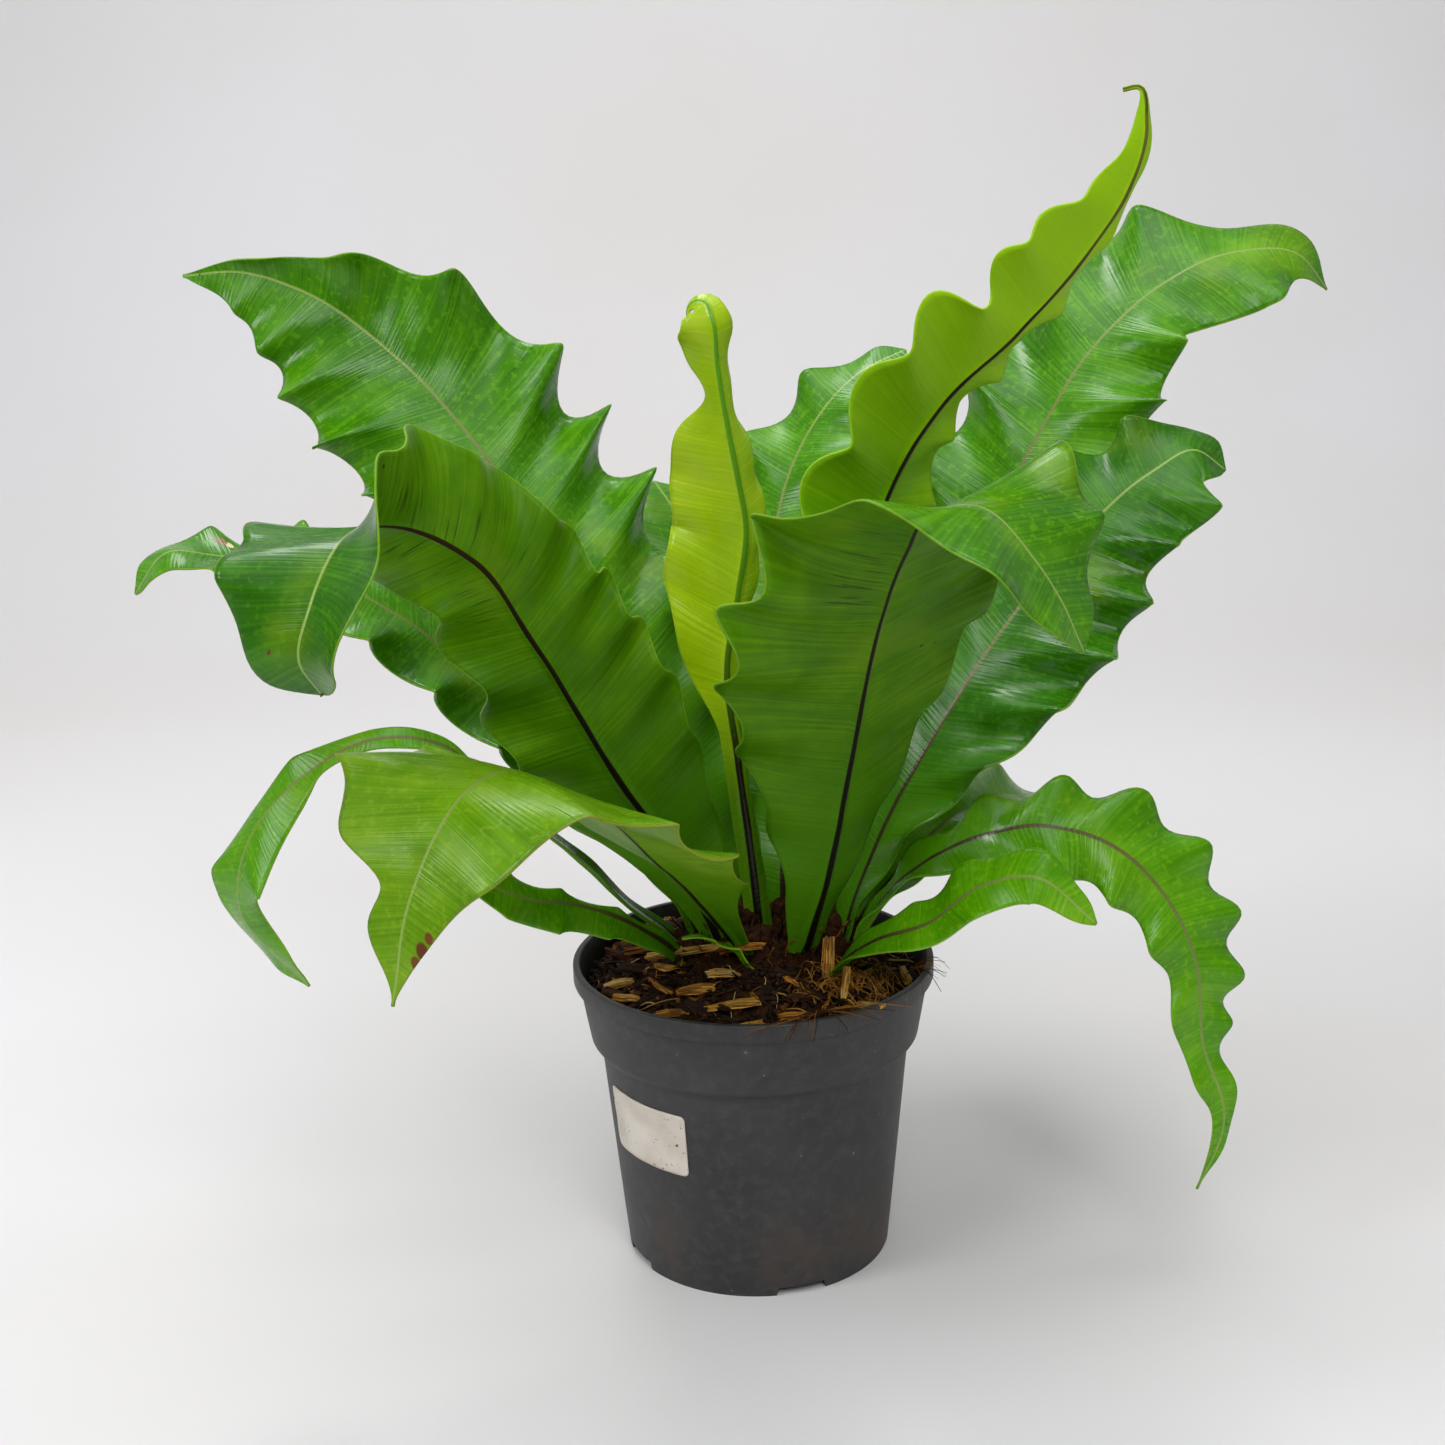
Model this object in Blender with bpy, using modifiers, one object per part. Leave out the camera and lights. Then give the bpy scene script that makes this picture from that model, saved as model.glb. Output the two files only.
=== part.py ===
"""Bird's nest fern in a nursery pot, as its separate solids.

A 17 cm pot holds potting mix, the mix holds the fern's crown, and the fronds stand in the crown. The
frame is the pot's: origin at the middle of its base, +Z up, and the label left of -Y.
"""
import math
import random

import bmesh
import bpy
import numpy as np
from mathutils import Matrix, Vector

MM = 0.001
MERGE = 0.01 * MM

# Pot, in millimetres
POT_HEIGHT = 144.8
BASE_RADIUS = 63.0
SHOULDER_RADIUS = 72.9        # top of the plain wall
SHOULDER_HEIGHT = 103.6
BAND_LOW_RADIUS = 77.8        # foot of the band above the shoulder
BAND_LOW_HEIGHT = 109.5
BAND_RADIUS = 82.4            # top of the band, under the lip
LIP_RADIUS = 85.0
LIP_HEIGHT = 8.6
LIP_INNER_RADIUS = 81.8
WALL = 1.7
FLOOR_RISE = 4.5              # the floor stands this high on the foot ring
FLOOR = 2.2
FOOT_WIDTH = 3.0
PAD_RADIUS = 14.0             # the middle of the floor stands on the same plane as the foot ring
PAD_SLOPE = 2.0
POT_SIDES = 48
NOTCH_TURNS = (205, 290, 25, 115)   # where the foot ring is notched, degrees from +X
NOTCH_WIDTH = 26.0
NOTCH_HEIGHT = 3.2
NOTCH_REACH = 14.0            # how far a notch's tool reaches in and out
NOTCH_TOP = 0.86              # its width at the top, as a share
DRAIN_COUNT = 6
DRAIN_RING = 42.0
DRAIN_RADIUS = 4.5
DRAIN_SIDES = 12
DRAIN_DRILL = 12.0            # length of a hole's tool

# Label, in millimetres
LABEL_TURN = 222.5            # where its middle is, degrees from +X
LABEL_WIDTH = 50.5            # along the wall
LABEL_LOW = 61.0
LABEL_HIGH = 92.0
LABEL_THICK = 0.6
LABEL_GAP = 0.1
LABEL_CORNER = 1.6            # how far its corners are cut back
LABEL_GRID = (10, 2)

# Potting mix and crown, in millimetres
FIT_GAP = 0.3                 # clearance between pieces that touch
MIX_EDGE_HEIGHT = 131.0       # at the pot's wall
MIX_TOP_HEIGHT = 152.0        # round the crown
MIX_BUMP = 2.2
MIX_MOUND = 2.4               # how flat the mound is towards its middle
MIX_RINGS = (30.0, 46.0, 55.0, 63.0, 71.0)
MIX_WALL_GAP = 0.7            # clearance to the pot's faceted wall
CHIP_COUNT = 34
CHIP_LENGTH = (11.0, 22.0)
CHIP_WIDTH = (5.0, 9.0)
CHIP_THICK = (3.0, 5.0)
CHIP_RING = (52.0, 70.0)      # distance of a chip from the pot's axis
CHIP_CLEAR = 1.15             # a chip keeps off the crown, as a share of its reach
CHIP_TILT = 0.22              # radians
CHIP_SINK = 0.1               # how deep a chip's middle lies, as a share of its thickness
CHIP_WALL_GAP = 2.0
CROWN_CENTRE = (6.0, 0.0)
CROWN_REACH = (57.0, 47.0)    # half its length and half its depth
CROWN_MIDDLE = 138.0
CROWN_LOW = 122.0
CROWN_TOP = 159.0
CROWN_BUMP = 2.6
CROWN_FLAT = 0.8              # how square the lump's side is, 1 for an egg
CROWN_GRID = (28, 12)
SLOT_GAP = 0.4                # clearance between a stalk and its slot
SLOT_ABOVE = 12.0             # how far above a stalk's exit its slot still follows it
SLOT_OPEN = 3.0               # how far the slot's box stands out above that

# Frond blade, in millimetres
BLADE = 0.8
RIB_ROOT = 2.4                # how far the rib stands out below the blade at the root
RIB_TIP = 0.3
RIB_ROOT_WIDTH = 4.5          # half width of the rib
RIB_TIP_WIDTH = 1.2

# Fronds. Each route runs from where the stalk leaves the crown to the tip, in millimetres, points as
# x, y, z. faces is the direction that the upper face looks in at the root, in degrees from +X towards +Y.
# width is the blade at its widest, which it is at widest, as a share of the length. Below stalk it
# is as narrow as the stalk. tip is 0.5 for a round tip and 1 or more for a pointed one. twist lists
# how far the blade is turned on its rib, as share of the length and degrees. curl lists how far the
# left and the right half bend up, as share, degrees left, degrees right. halves lists how wide the left
# and the right half are, as shares of half the width. wave is the height of the margin's waves, with
# the crests of the left and the right margin as shares of the length. grid is the number of steps along
# and across the blade.
def even(count, first=0.2, last=0.97):
    """Evenly spaced shares of a length."""
    return [first + (last - first) * i / (count - 1) for i in range(count)]


FRONDS = {
    "frond_back_left": {
        "route": [(-11, 14, 152), (-21, 28, 213), (-51, 50, 277), (-117, 85, 362),
                  (-166, 110, 415), (-215, 120, 450), (-243, 120, 459), (-271, 118, 458)],
        "faces": -40, "stalk": 0.0, "root": 12, "width": 115, "widest": 0.55, "tip": 1.0,
        "twist": [(0.0, 0), (0.3, 10), (0.6, 25), (0.75, 35), (0.88, 45), (1.0, 45)],
        "curl": [(0.0, 20, 20), (0.15, 20, 20), (0.3, 10, 15), (0.6, 0, 8), (0.8, 0, 40), (0.9, 0, 60),
                 (1.0, 0, 40)],
        "halves": [(0.0, 1.0, 1.0), (0.6, 1.0, 1.0), (0.75, 1.2, 1.0), (0.82, 1.25, 0.85), (0.92, 1.3, 0.45),
                   (1.0, 1.2, 0.45)],
        "wave": 11, "left": [0.27, 0.37, 0.47, 0.57, 0.67, 0.77, 0.86, 0.93],
        "right": [0.34, 0.43, 0.51, 0.59, 0.71, 0.82, 0.92], "grid": (40, 4),
    },
    "frond_left": {
        "route": [(-25, 2, 151), (-48, 1, 197), (-83, -4, 242), (-117, -14, 282), (-156, -26, 320),
                  (-192, -36, 341), (-227, -44, 350), (-246, -50, 353), (-260, -54, 336)],
        "faces": 0, "stalk": 0.0, "root": 12, "width": 62, "widest": 0.55, "tip": 0.6,
        "twist": [(0.0, 20), (0.7, 20), (0.8, 10), (0.9, 0), (1.0, 0)],
        "curl": [(0.0, 20, 20), (0.15, 20, 20), (0.3, 10, 10), (0.65, 8, 8), (0.8, 0, 0), (1.0, 0, 0)],
        "wave": 7, "left": even(8), "right": even(8), "grid": (30, 4),
    },
    "frond_front_left": {
        "route": [(-14, -12, 153), (-28, -26, 192), (-59, -55, 253), (-89, -88, 321), (-108, -108, 358),
                  (-131, -126, 375), (-145, -146, 379), (-152, -166, 374), (-159, -182, 357),
                  (-164, -186, 337), (-158, -178, 322)],
        "faces": 75, "stalk": 0.0, "root": 13, "width": 116, "widest": 0.6, "tip": 0.6,
        "twist": [(0.0, 0), (0.72, 0), (0.78, 20), (0.84, 40), (0.9, 45), (1.0, 40)],
        "curl": [(0.0, 20, 20), (0.15, 20, 20), (0.4, 15, 5), (0.58, 30, 0), (0.68, 75, 0), (0.78, 85, 0),
                 (0.88, 65, 0), (1.0, 40, 0)],
        "halves": [(0.0, 1.0, 1.0), (0.35, 1.0, 0.85), (0.48, 0.8, 0.6), (0.62, 0.66, 0.52), (0.75, 0.72, 0.7),
                   (0.85, 0.8, 0.9), (1.0, 1.0, 0.95)],
        "wave": 7, "left": [0.24, 0.32, 0.4, 0.47, 0.54, 0.61, 0.69, 0.78, 0.9],
        "right": even(8), "grid": (40, 4),
    },
    "frond_low_front_left": {
        "route": [(-4, -23, 150), (-23, -48, 191), (-41, -82, 223), (-58, -111, 251), (-78, -141, 275),
                  (-95, -165, 287), (-108, -185, 283), (-118, -197, 269), (-126, -205, 250),
                  (-134, -212, 211)],
        "faces": 50, "stalk": 0.06, "root": 13, "width": 122, "widest": 0.55, "tip": 1.4,
        "twist": [(0.0, 0), (1.0, 0)],
        "curl": [(0.0, 20, 20), (0.15, 20, 20), (0.3, 15, 15), (0.45, 0, 0), (1.0, 0, 0)],
        "halves": [(0.0, 1.0, 1.0), (0.5, 1.0, 1.0), (0.66, 1.0, 1.15), (0.78, 1.0, 1.35), (0.84, 1.0, 1.3),
                   (0.88, 1.0, 0.7), (0.93, 1.0, 1.4), (1.0, 1.0, 1.0)],
        "wave": 4, "left": even(6), "right": even(6), "grid": (36, 4),
    },
    "frond_trailing_left": {
        "route": [(-36, 4, 151), (-57, -2, 172), (-77, -14, 198), (-111, -40, 239), (-134, -52, 266),
                  (-160, -62, 272), (-189, -72, 260), (-212, -80, 237), (-220, -84, 205),
                  (-192, -86, 168)],
        "faces": 0, "stalk": 0.5, "root": 8, "width": 31, "widest": 0.8, "tip": 0.8,
        "twist": [(0.0, 0), (0.4, 0), (0.55, 20), (0.7, 10), (0.8, 0), (1.0, 0)],
        "halves": [(0.0, 1.0, 1.0), (0.55, 1.0, 1.0), (0.66, 0.4, 0.7), (0.76, 1.2, 0.9), (0.83, 1.3, 1.1),
                   (1.0, 1.0, 1.0)],
        "curl": [(0.0, 20, 20), (0.3, 20, 20), (0.5, 0, 0), (1.0, 0, 0)],
        "wave": 3, "left": even(6), "right": even(6), "grid": (26, 4),
    },
    "frond_small_left": {
        "route": [(-30, -20, 148), (-51, -34, 172), (-76, -52, 190), (-96, -70, 200), (-112, -84, 212),
                  (-125, -94, 226)],
        "faces": 0, "stalk": 0.0, "root": 9, "width": 21, "widest": 0.68, "tip": 0.8,
        "twist": [(0.0, 20), (1.0, 20)],
        "curl": [(0.0, 20, 20), (0.25, 20, 20), (0.5, 0, 0), (1.0, 0, 0)],
        "halves": [(0.0, 1.0, 0.8), (0.6, 1.3, 0.5), (0.85, 1.1, 1.2), (1.0, 1.0, 1.2)],
        "wave": 3, "left": even(5), "right": even(5), "grid": (16, 4),
    },
    "frond_shoot": {
        "route": [(-1, -34, 149), (-8, -38, 162), (-17, -44, 169), (-24, -52, 175), (-31, -58, 176)],
        "faces": 30, "stalk": 0.0, "root": 8, "width": 9, "widest": 0.3, "tip": 0.7,
        "twist": [(0.0, 0), (1.0, 0)],
        "curl": [(0.0, 10, 10), (0.3, 20, 20), (0.6, 0, 0), (1.0, 0, 0)],
        "wave": 1, "left": even(4), "right": even(4), "grid": (10, 2),
    },
    "frond_young_centre": {
        "route": [(3, 4, 161), (0, 4, 195), (-5, 2, 240), (-9, 0, 286), (-3, 0, 320), (1, 0, 348),
                  (-2, 0, 370), (-6, 0, 393), (-10, 0, 421), (-13, -2, 446), (-15, -9, 453),
                  (-16, -19, 450), (-18, -20, 440), (-18, -12, 437)],
        "faces": -90, "stalk": 0.33, "root": 13, "width": 74, "widest": 0.6, "tip": 1.5,
        "twist": [(0.0, 0), (1.0, 0)],
        "curl": [(0.0, 10, 10), (0.5, 10, 10), (0.58, 30, 60), (0.65, 30, 150), (0.72, 40, 200),
                 (0.8, 40, 220), (0.88, 30, 150), (0.94, 0, 60), (1.0, 0, 0)],
        "halves": [(0.0, 1.0, 1.0), (0.5, 1.0, 0.9), (0.62, 1.0, 0.6), (0.78, 0.8, 0.5), (0.84, 0.25, 0.5),
                   (0.9, 1.2, 0.7), (1.0, 1.5, 1.0)],
        "wave": 2, "left": even(9), "right": even(9), "grid": (30, 8),
    },
    "frond_back_centre": {
        "route": [(15, 20, 162), (16, 42, 213), (13, 75, 274), (19, 106, 343), (37, 126, 379),
                  (60, 140, 401), (84, 148, 411)],
        "faces": -120, "stalk": 0.0, "root": 12, "width": 88, "widest": 0.68, "tip": 0.7,
        "twist": [(0.0, 0), (1.0, 0)],
        "curl": [(0.0, 20, 20), (0.4, 20, 20), (0.65, 10, 0), (0.8, 0, 0), (1.0, 0, 0)],
        "halves": [(0.0, 1.0, 1.0), (0.5, 1.0, 1.0), (0.7, 0.7, 1.0), (1.0, 0.6, 1.0)],
        "wave": 6, "left": even(7), "right": even(7), "grid": (28, 4),
    },
    "frond_young_right": {
        "route": [(28, -10, 158), (39, -22, 227), (49, -35, 313), (62, -45, 372), (85, -55, 411),
                  (113, -62, 438), (137, -68, 466), (155, -72, 494), (161, -74, 520), (158, -74, 533),
                  (152, -74, 532)],
        "faces": 110, "stalk": 0.0, "root": 12, "width": 82, "widest": 0.58, "tip": 1.5,
        "twist": [(0.0, 0), (1.0, 0)],
        "curl": [(0.0, 20, 20), (0.15, 20, 20), (0.35, 10, 10), (0.5, 20, 0), (0.65, 45, 0), (0.85, 45, 0),
                 (0.93, 40, 20), (1.0, 40, 40)],
        "halves": [(0.0, 1.0, 1.0), (0.45, 1.0, 1.0), (0.58, 0.5, 0.8), (0.66, 0.45, 0.9), (0.72, 0.4, 0.95),
                   (0.745, 0.4, 0.6), (0.77, 0.4, 0.95), (0.9, 0.4, 1.0), (1.0, 1.0, 1.0)],
        "wave": 7, "left": even(10), "right": [0.22, 0.31, 0.4, 0.49, 0.58, 0.66, 0.74, 0.81, 0.88, 0.95],
        "grid": (42, 4),
    },
    "frond_front_right": {
        "route": [(23, -22, 151), (33, -38, 195), (44, -65, 263), (54, -100, 328), (63, -125, 362),
                  (70, -145, 379), (89, -165, 384), (106, -178, 367), (117, -182, 349),
                  (124, -184, 333)],
        "faces": 120, "stalk": 0.0, "root": 13, "width": 126, "widest": 0.7, "tip": 0.8,
        "twist": [(0.0, 0), (1.0, 0)],
        "curl": [(0.0, 20, 20), (0.15, 20, 20), (0.35, 15, 15), (0.65, 5, 5), (0.75, 10, 0),
                 (0.85, 30, 0), (0.95, 10, 0), (1.0, 0, 0)],
        "halves": [(0.0, 1.0, 1.0), (0.3, 1.0, 1.15), (0.5, 1.0, 1.2), (0.63, 1.0, 1.5), (0.7, 1.0, 1.3),
                   (0.77, 0.95, 0.8), (0.84, 0.9, 0.75), (1.0, 0.85, 0.75)],
        "wave": 6, "left": even(8), "right": even(8), "grid": (40, 4),
    },
    "frond_back_right": {
        "route": [(36, 18, 150), (62, 42, 206), (90, 70, 263), (147, 108, 374), (173, 122, 411),
                  (209, 134, 441), (247, 141, 456), (280, 144, 453), (294, 144, 436)],
        "faces": -150, "stalk": 0.0, "root": 12, "width": 112, "widest": 0.66, "tip": 1.0,
        "twist": [(0.0, 0), (0.3, -20), (0.6, -25), (1.0, -25)],
        "curl": [(0.0, 20, 20), (0.3, 20, 20), (0.6, 0, 0), (1.0, 0, 0)],
        "halves": [(0.0, 1.0, 1.0), (0.55, 1.0, 0.85), (0.7, 1.0, 0.85), (0.77, 1.25, 0.65), (0.87, 0.8, 1.15),
                   (0.95, 1.0, 1.4), (1.0, 1.0, 1.0)],
        "wave": 10, "left": [0.25, 0.36, 0.47, 0.58, 0.69, 0.79, 0.96],
        "right": [0.22, 0.32, 0.42, 0.52, 0.62, 0.72, 0.88, 0.98], "grid": (40, 4),
    },
    "frond_right": {
        "route": [(42, -4, 151), (63, 4, 206), (85, 12, 244), (130, 30, 306), (162, 42, 339),
                  (191, 52, 361), (213, 58, 370), (228, 60, 360)],
        "faces": -170, "stalk": 0.0, "root": 12, "width": 115, "widest": 0.6, "tip": 0.65,
        "twist": [(0.0, 0), (0.2, -20), (0.35, -35), (0.6, -45), (1.0, -45)],
        "curl": [(0.0, 20, 20), (0.35, 20, 20), (0.6, 0, 0), (1.0, 0, 0)],
        "halves": [(0.0, 1.0, 1.0), (0.5, 1.0, 0.95), (0.7, 0.8, 0.85), (0.8, 0.75, 0.75), (0.88, 0.75, 1.0),
                   (1.0, 0.9, 0.9)],
        "wave": 9, "left": even(8), "right": even(8), "grid": (38, 4),
    },
    "frond_trailing_right": {
        "route": [(44, -21, 147), (66, -31, 190), (94, -39, 211), (129, -44, 220), (159, -48, 212),
                  (183, -52, 189), (197, -55, 159), (201, -57, 121), (212, -58, 82), (201, -58, 48)],
        "faces": 160, "stalk": 0.0, "root": 10, "width": 40, "widest": 0.5, "tip": 1.3,
        "twist": [(0.0, 0), (0.15, -10), (0.3, -30), (0.45, -50), (0.65, -65), (1.0, -65)],
        "curl": [(0.0, 20, 20), (0.15, 20, 20), (0.35, 0, 0), (1.0, 0, 0)],
        "halves": [(0.0, 1.0, 1.0), (0.4, 1.0, 1.0), (0.55, 1.25, 0.85), (0.7, 1.0, 0.75), (0.8, 0.7, 0.75),
                   (1.0, 0.9, 1.0)],
        "wave": 6, "left": [0.2, 0.3, 0.38, 0.45, 0.53, 0.61, 0.68, 0.75, 0.85, 0.95],
        "right": [0.2, 0.3, 0.4, 0.5, 0.61, 0.73, 0.83, 0.93], "grid": (36, 4),
    },
    "frond_low_back_right": {
        "route": [(47, 12, 149), (67, 24, 172), (87, 42, 188), (124, 66, 200), (157, 85, 187)],
        "faces": -150, "stalk": 0.0, "root": 10, "width": 64, "widest": 0.6, "tip": 0.75,
        "twist": [(0.0, 0), (0.25, -10), (0.45, -20), (1.0, -20)],
        "curl": [(0.0, 20, 20), (0.25, 20, 20), (0.5, 10, 10), (0.8, 0, 0), (1.0, 0, 0)],
        "halves": [(0.0, 1.0, 1.0), (0.3, 1.0, 0.7), (0.6, 1.0, 0.6), (1.0, 1.0, 0.8)],
        "wave": 5, "left": even(5), "right": even(5), "grid": (18, 4),
    },
    "frond_small_right": {
        "route": [(35, -33, 147), (54, -51, 170), (78, -68, 185), (99, -76, 204), (120, -82, 210),
                  (147, -88, 190)],
        "faces": 150, "stalk": 0.0, "root": 10, "width": 28, "widest": 0.68, "tip": 0.75,
        "twist": [(0.0, 0), (0.2, -10), (0.4, -30), (0.6, -40), (1.0, -40)],
        "curl": [(0.0, 20, 20), (0.2, 20, 20), (0.4, 10, 10), (0.6, 0, 0), (1.0, 0, 0)],
        "wave": 3, "left": even(5), "right": even(5), "grid": (16, 4),
    },
    "frond_back": {
        "route": [(-2, 32, 157), (-10, 62, 202), (-18, 105, 252), (-26, 150, 294), (-37, 186, 325),
                  (-48, 212, 337)],
        "faces": -70, "stalk": 0.0, "root": 12, "width": 75, "widest": 0.68, "tip": 0.9,
        "twist": [(0.0, 0), (1.0, 0)],
        "curl": [(0.0, 20, 20), (0.2, 20, 20), (0.45, 10, 10), (0.7, 0, 0), (1.0, 0, 0)],
        "wave": 6, "left": even(6), "right": even(6), "grid": (24, 4),
    },
    "frond_low_back": {
        "route": [(23, 34, 155), (34, 66, 187), (52, 108, 221), (66, 156, 245), (80, 198, 254),
                  (90, 230, 241)],
        "faces": -90, "stalk": 0.0, "root": 12, "width": 86, "widest": 0.62, "tip": 1.2,
        "twist": [(0.0, 0), (1.0, 0)],
        "curl": [(0.0, 20, 20), (0.2, 20, 20), (0.45, 10, 10), (0.7, 0, 0), (1.0, 0, 0)],
        "wave": 6, "left": even(6), "right": even(6), "grid": (24, 4),
    },
}

ROOT_DEPTH = 14.0     # how deep a stalk stands in the crown
SPINE_STEPS = 240     # places along a frond's rib at which its frame is worked out
RIB_SHARE = 0.35      # share of a half's bend that is already there beside the rib
SWEEP = 0.45          # how far the waves lean towards the tip, as a share of the half width
SHARP = 0.75          # how pointed the crests of the margin are, 0 round, 1 a cusp
WAVE_REACH = 1.4      # how quickly the waves grow from the rib to the margin
WAVE_OUT = 0.7        # how far a wave's crest also stands out sideways, as a share of its height
WAVE_FADE = 1.3       # how quickly the waves die out where the blade narrows
BEND_STEPS = 24       # steps over which a half's bend is added up
LEAST_WIDTH = 1.2     # the blade is never narrower, in millimetres
ROOT_SPREAD = 0.85    # how quickly the blade spreads above the stalk
ROUND_WIDTH = 2.2     # how long the blade stays near its full width before the tip
MORE_CRESTS = 30      # waves worked out beyond the first and the last crest
EVEN_HALVES = [(0.0, 1.0, 1.0), (1.0, 1.0, 1.0)]


def smooth(knots, values, at):
    """Values at the given places on a smooth curve through the given values."""
    knots = np.array(knots, float)
    values = np.array(values, float)
    slopes = np.gradient(values, knots, axis=0)
    i = np.clip(np.searchsorted(knots, at, side="right") - 1, 0, len(knots) - 2)
    h = (knots[i + 1] - knots[i])[:, None]
    f = (at - knots[i])[:, None] / h
    return ((1 + 2 * f) * (1 - f) ** 2 * values[i] + f * (1 - f) ** 2 * h * slopes[i]
            + f * f * (3 - 2 * f) * values[i + 1] + f * f * (f - 1) * h * slopes[i + 1])


def run_lengths(points):
    """Length along a row of points up to each of them."""
    steps = np.linalg.norm(np.diff(points, axis=0), axis=1)
    return np.concatenate([[0.0], np.cumsum(steps)])


def rib_line(frond):
    """Points evenly spaced along the rib, with the buried root end, and the rib's length."""
    route = np.array(frond["route"], float)
    leave = route[1] - route[0]
    leave = 0.6 * leave / np.linalg.norm(leave) + np.array([0.0, 0.0, 0.4])
    root = route[0] - ROOT_DEPTH * leave / np.linalg.norm(leave)
    route = np.vstack([root, route])
    knots = run_lengths(route)
    curve = smooth(knots, route, np.linspace(0.0, knots[-1], 3 * SPINE_STEPS))
    run = run_lengths(curve)
    at = np.linspace(0.0, run[-1], SPINE_STEPS + 1)
    return np.stack([np.interp(at, run, curve[:, k]) for k in range(3)], 1), run[-1]


def rib_frames(places, faces):
    """Unit tangent, side and upper normal at each place, the normal carried along without turning."""
    tangents = np.gradient(places, axis=0)
    tangents /= np.linalg.norm(tangents, axis=1)[:, None]
    normal = np.array([math.cos(faces), math.sin(faces), 0.0])
    normals = []
    for tangent in tangents:
        normal = normal - (normal @ tangent) * tangent
        normal /= np.linalg.norm(normal)
        normals.append(normal)
    normals = np.array(normals)
    return tangents, np.cross(tangents, normals), normals


def half_width(frond, share):
    """Half the blade's width at shares of the frond's length."""
    low = np.clip((share - frond["stalk"]) / (frond["widest"] - frond["stalk"]), 0.0, 1.0) ** ROOT_SPREAD
    high = np.clip((share - frond["widest"]) / (1.0 - frond["widest"]), 0.0, 1.0)
    rise = low * low * (3 - 2 * low)
    fall = (1.0 - high ** ROUND_WIDTH) ** frond["tip"]
    width = (frond["root"] + (frond["width"] - frond["root"]) * rise) * fall
    return np.maximum(width, LEAST_WIDTH) / 2


def crest_phase(crests, at):
    """Wave number along the margin: whole at each crest."""
    crests = np.array(crests, float)
    before = crests[0] - (crests[1] - crests[0]) * np.arange(MORE_CRESTS, 0, -1)
    after = crests[-1] + (crests[-1] - crests[-2]) * np.arange(1, MORE_CRESTS + 1)
    numbers = np.arange(-MORE_CRESTS, len(crests) + MORE_CRESTS)
    return np.interp(at, np.concatenate([before, crests, after]), numbers)


def blade_points(frond, along, across):
    """Rows of points on the blade from root to tip, each from the left margin to the right one."""
    spine, length = rib_line(frond)
    tangents, sides, normals = rib_frames(spine, math.radians(frond["faces"]))
    share = np.linspace(0.0, 1.0, SPINE_STEPS + 1)
    full = half_width(frond, share)
    halves = frond.get("halves", EVEN_HALVES)
    parts = smooth([row[0] for row in halves], [row[1:] for row in halves], share)
    twist_at = [place for place, turn in frond["twist"]]
    turns = [[turn] for place, turn in frond["twist"]]
    twist = np.radians(smooth(twist_at, turns, share))
    curl_at = [row[0] for row in frond["curl"]]
    curls = np.radians(smooth(curl_at, [row[1:] for row in frond["curl"]], share))
    side = np.cos(twist) * sides + np.sin(twist) * normals
    up = np.cos(twist) * normals - np.sin(twist) * sides
    fade = np.clip(full / full.max(), 0.0, 1.0) ** WAVE_FADE
    steps = (np.arange(BEND_STEPS) + 0.5) / BEND_STEPS
    grid = np.zeros((along + 1, across + 1, 3))
    rows = np.linspace(0, SPINE_STEPS, along + 1)
    for j, across_share in enumerate(np.linspace(-1.0, 1.0, across + 1)):
        out = abs(across_share)
        sign = math.copysign(1.0, across_share)
        crests = frond["left" if across_share < 0 else "right"]
        bend = curls[:, :1] if across_share < 0 else curls[:, 1:]
        half = full * (parts[:, 0] if across_share < 0 else parts[:, 1])
        lean = bend * (RIB_SHARE + (1 - RIB_SHARE) * out * steps)
        phase = crest_phase(crests, share - SWEEP * out * half / length)
        wave_length = length / np.maximum(np.gradient(phase, share), 1e-6)
        reach = fade * out ** WAVE_REACH
        lift = frond["wave"] * reach * np.cos(2 * math.pi * phase)
        slide = -SHARP * wave_length / (2 * math.pi) * reach * np.sin(2 * math.pi * phase)
        edge = lean[:, -1]
        over = out * np.cos(lean).mean(1) * half + lift * (WAVE_OUT * np.cos(edge) - np.sin(edge))
        rise = out * np.sin(lean).mean(1) * half + lift * (WAVE_OUT * np.sin(edge) + np.cos(edge))
        line = spine + (sign * over)[:, None] * side + rise[:, None] * up + slide[:, None] * tangents
        for k in range(3):
            grid[:, j, k] = np.interp(rows, np.arange(SPINE_STEPS + 1), line[:, k])
    return grid


def clear_scene():
    for thing in list(bpy.data.objects):
        bpy.data.objects.remove(thing, do_unlink=True)


def collection(name, shown=True):
    """A collection under the scene's own one."""
    group = bpy.data.collections.new(name)
    bpy.context.scene.collection.children.link(group)
    group.hide_render = not shown
    return group


def material(name, colour, roughness, metallic=0.0):
    """A Principled material with one plain colour."""
    made = bpy.data.materials.new(name)
    made.use_nodes = True
    shader = made.node_tree.nodes["Principled BSDF"]
    shader.inputs["Base Color"].default_value = (*colour, 1.0)
    shader.inputs["Roughness"].default_value = roughness
    shader.inputs["Metallic"].default_value = metallic
    return made


def add_object(name, mesh_maker, group, finish=None):
    """An object whose mesh is the filled bmesh."""
    data = bpy.data.meshes.new(name)
    mesh_maker.to_mesh(data)
    mesh_maker.free()
    thing = bpy.data.objects.new(name, data)
    group.objects.link(thing)
    if finish is not None:
        data.materials.append(finish)
    return thing


def boolean(thing, tool, operation, solver="EXACT"):
    """Add a live Boolean of one object with another."""
    cut = thing.modifiers.new(f"{operation.lower()} {tool.name}", "BOOLEAN")
    cut.operation = operation
    cut.solver = solver
    cut.object = tool


def hide_tool(thing):
    thing.hide_render = True
    thing.display_type = "WIRE"


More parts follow.
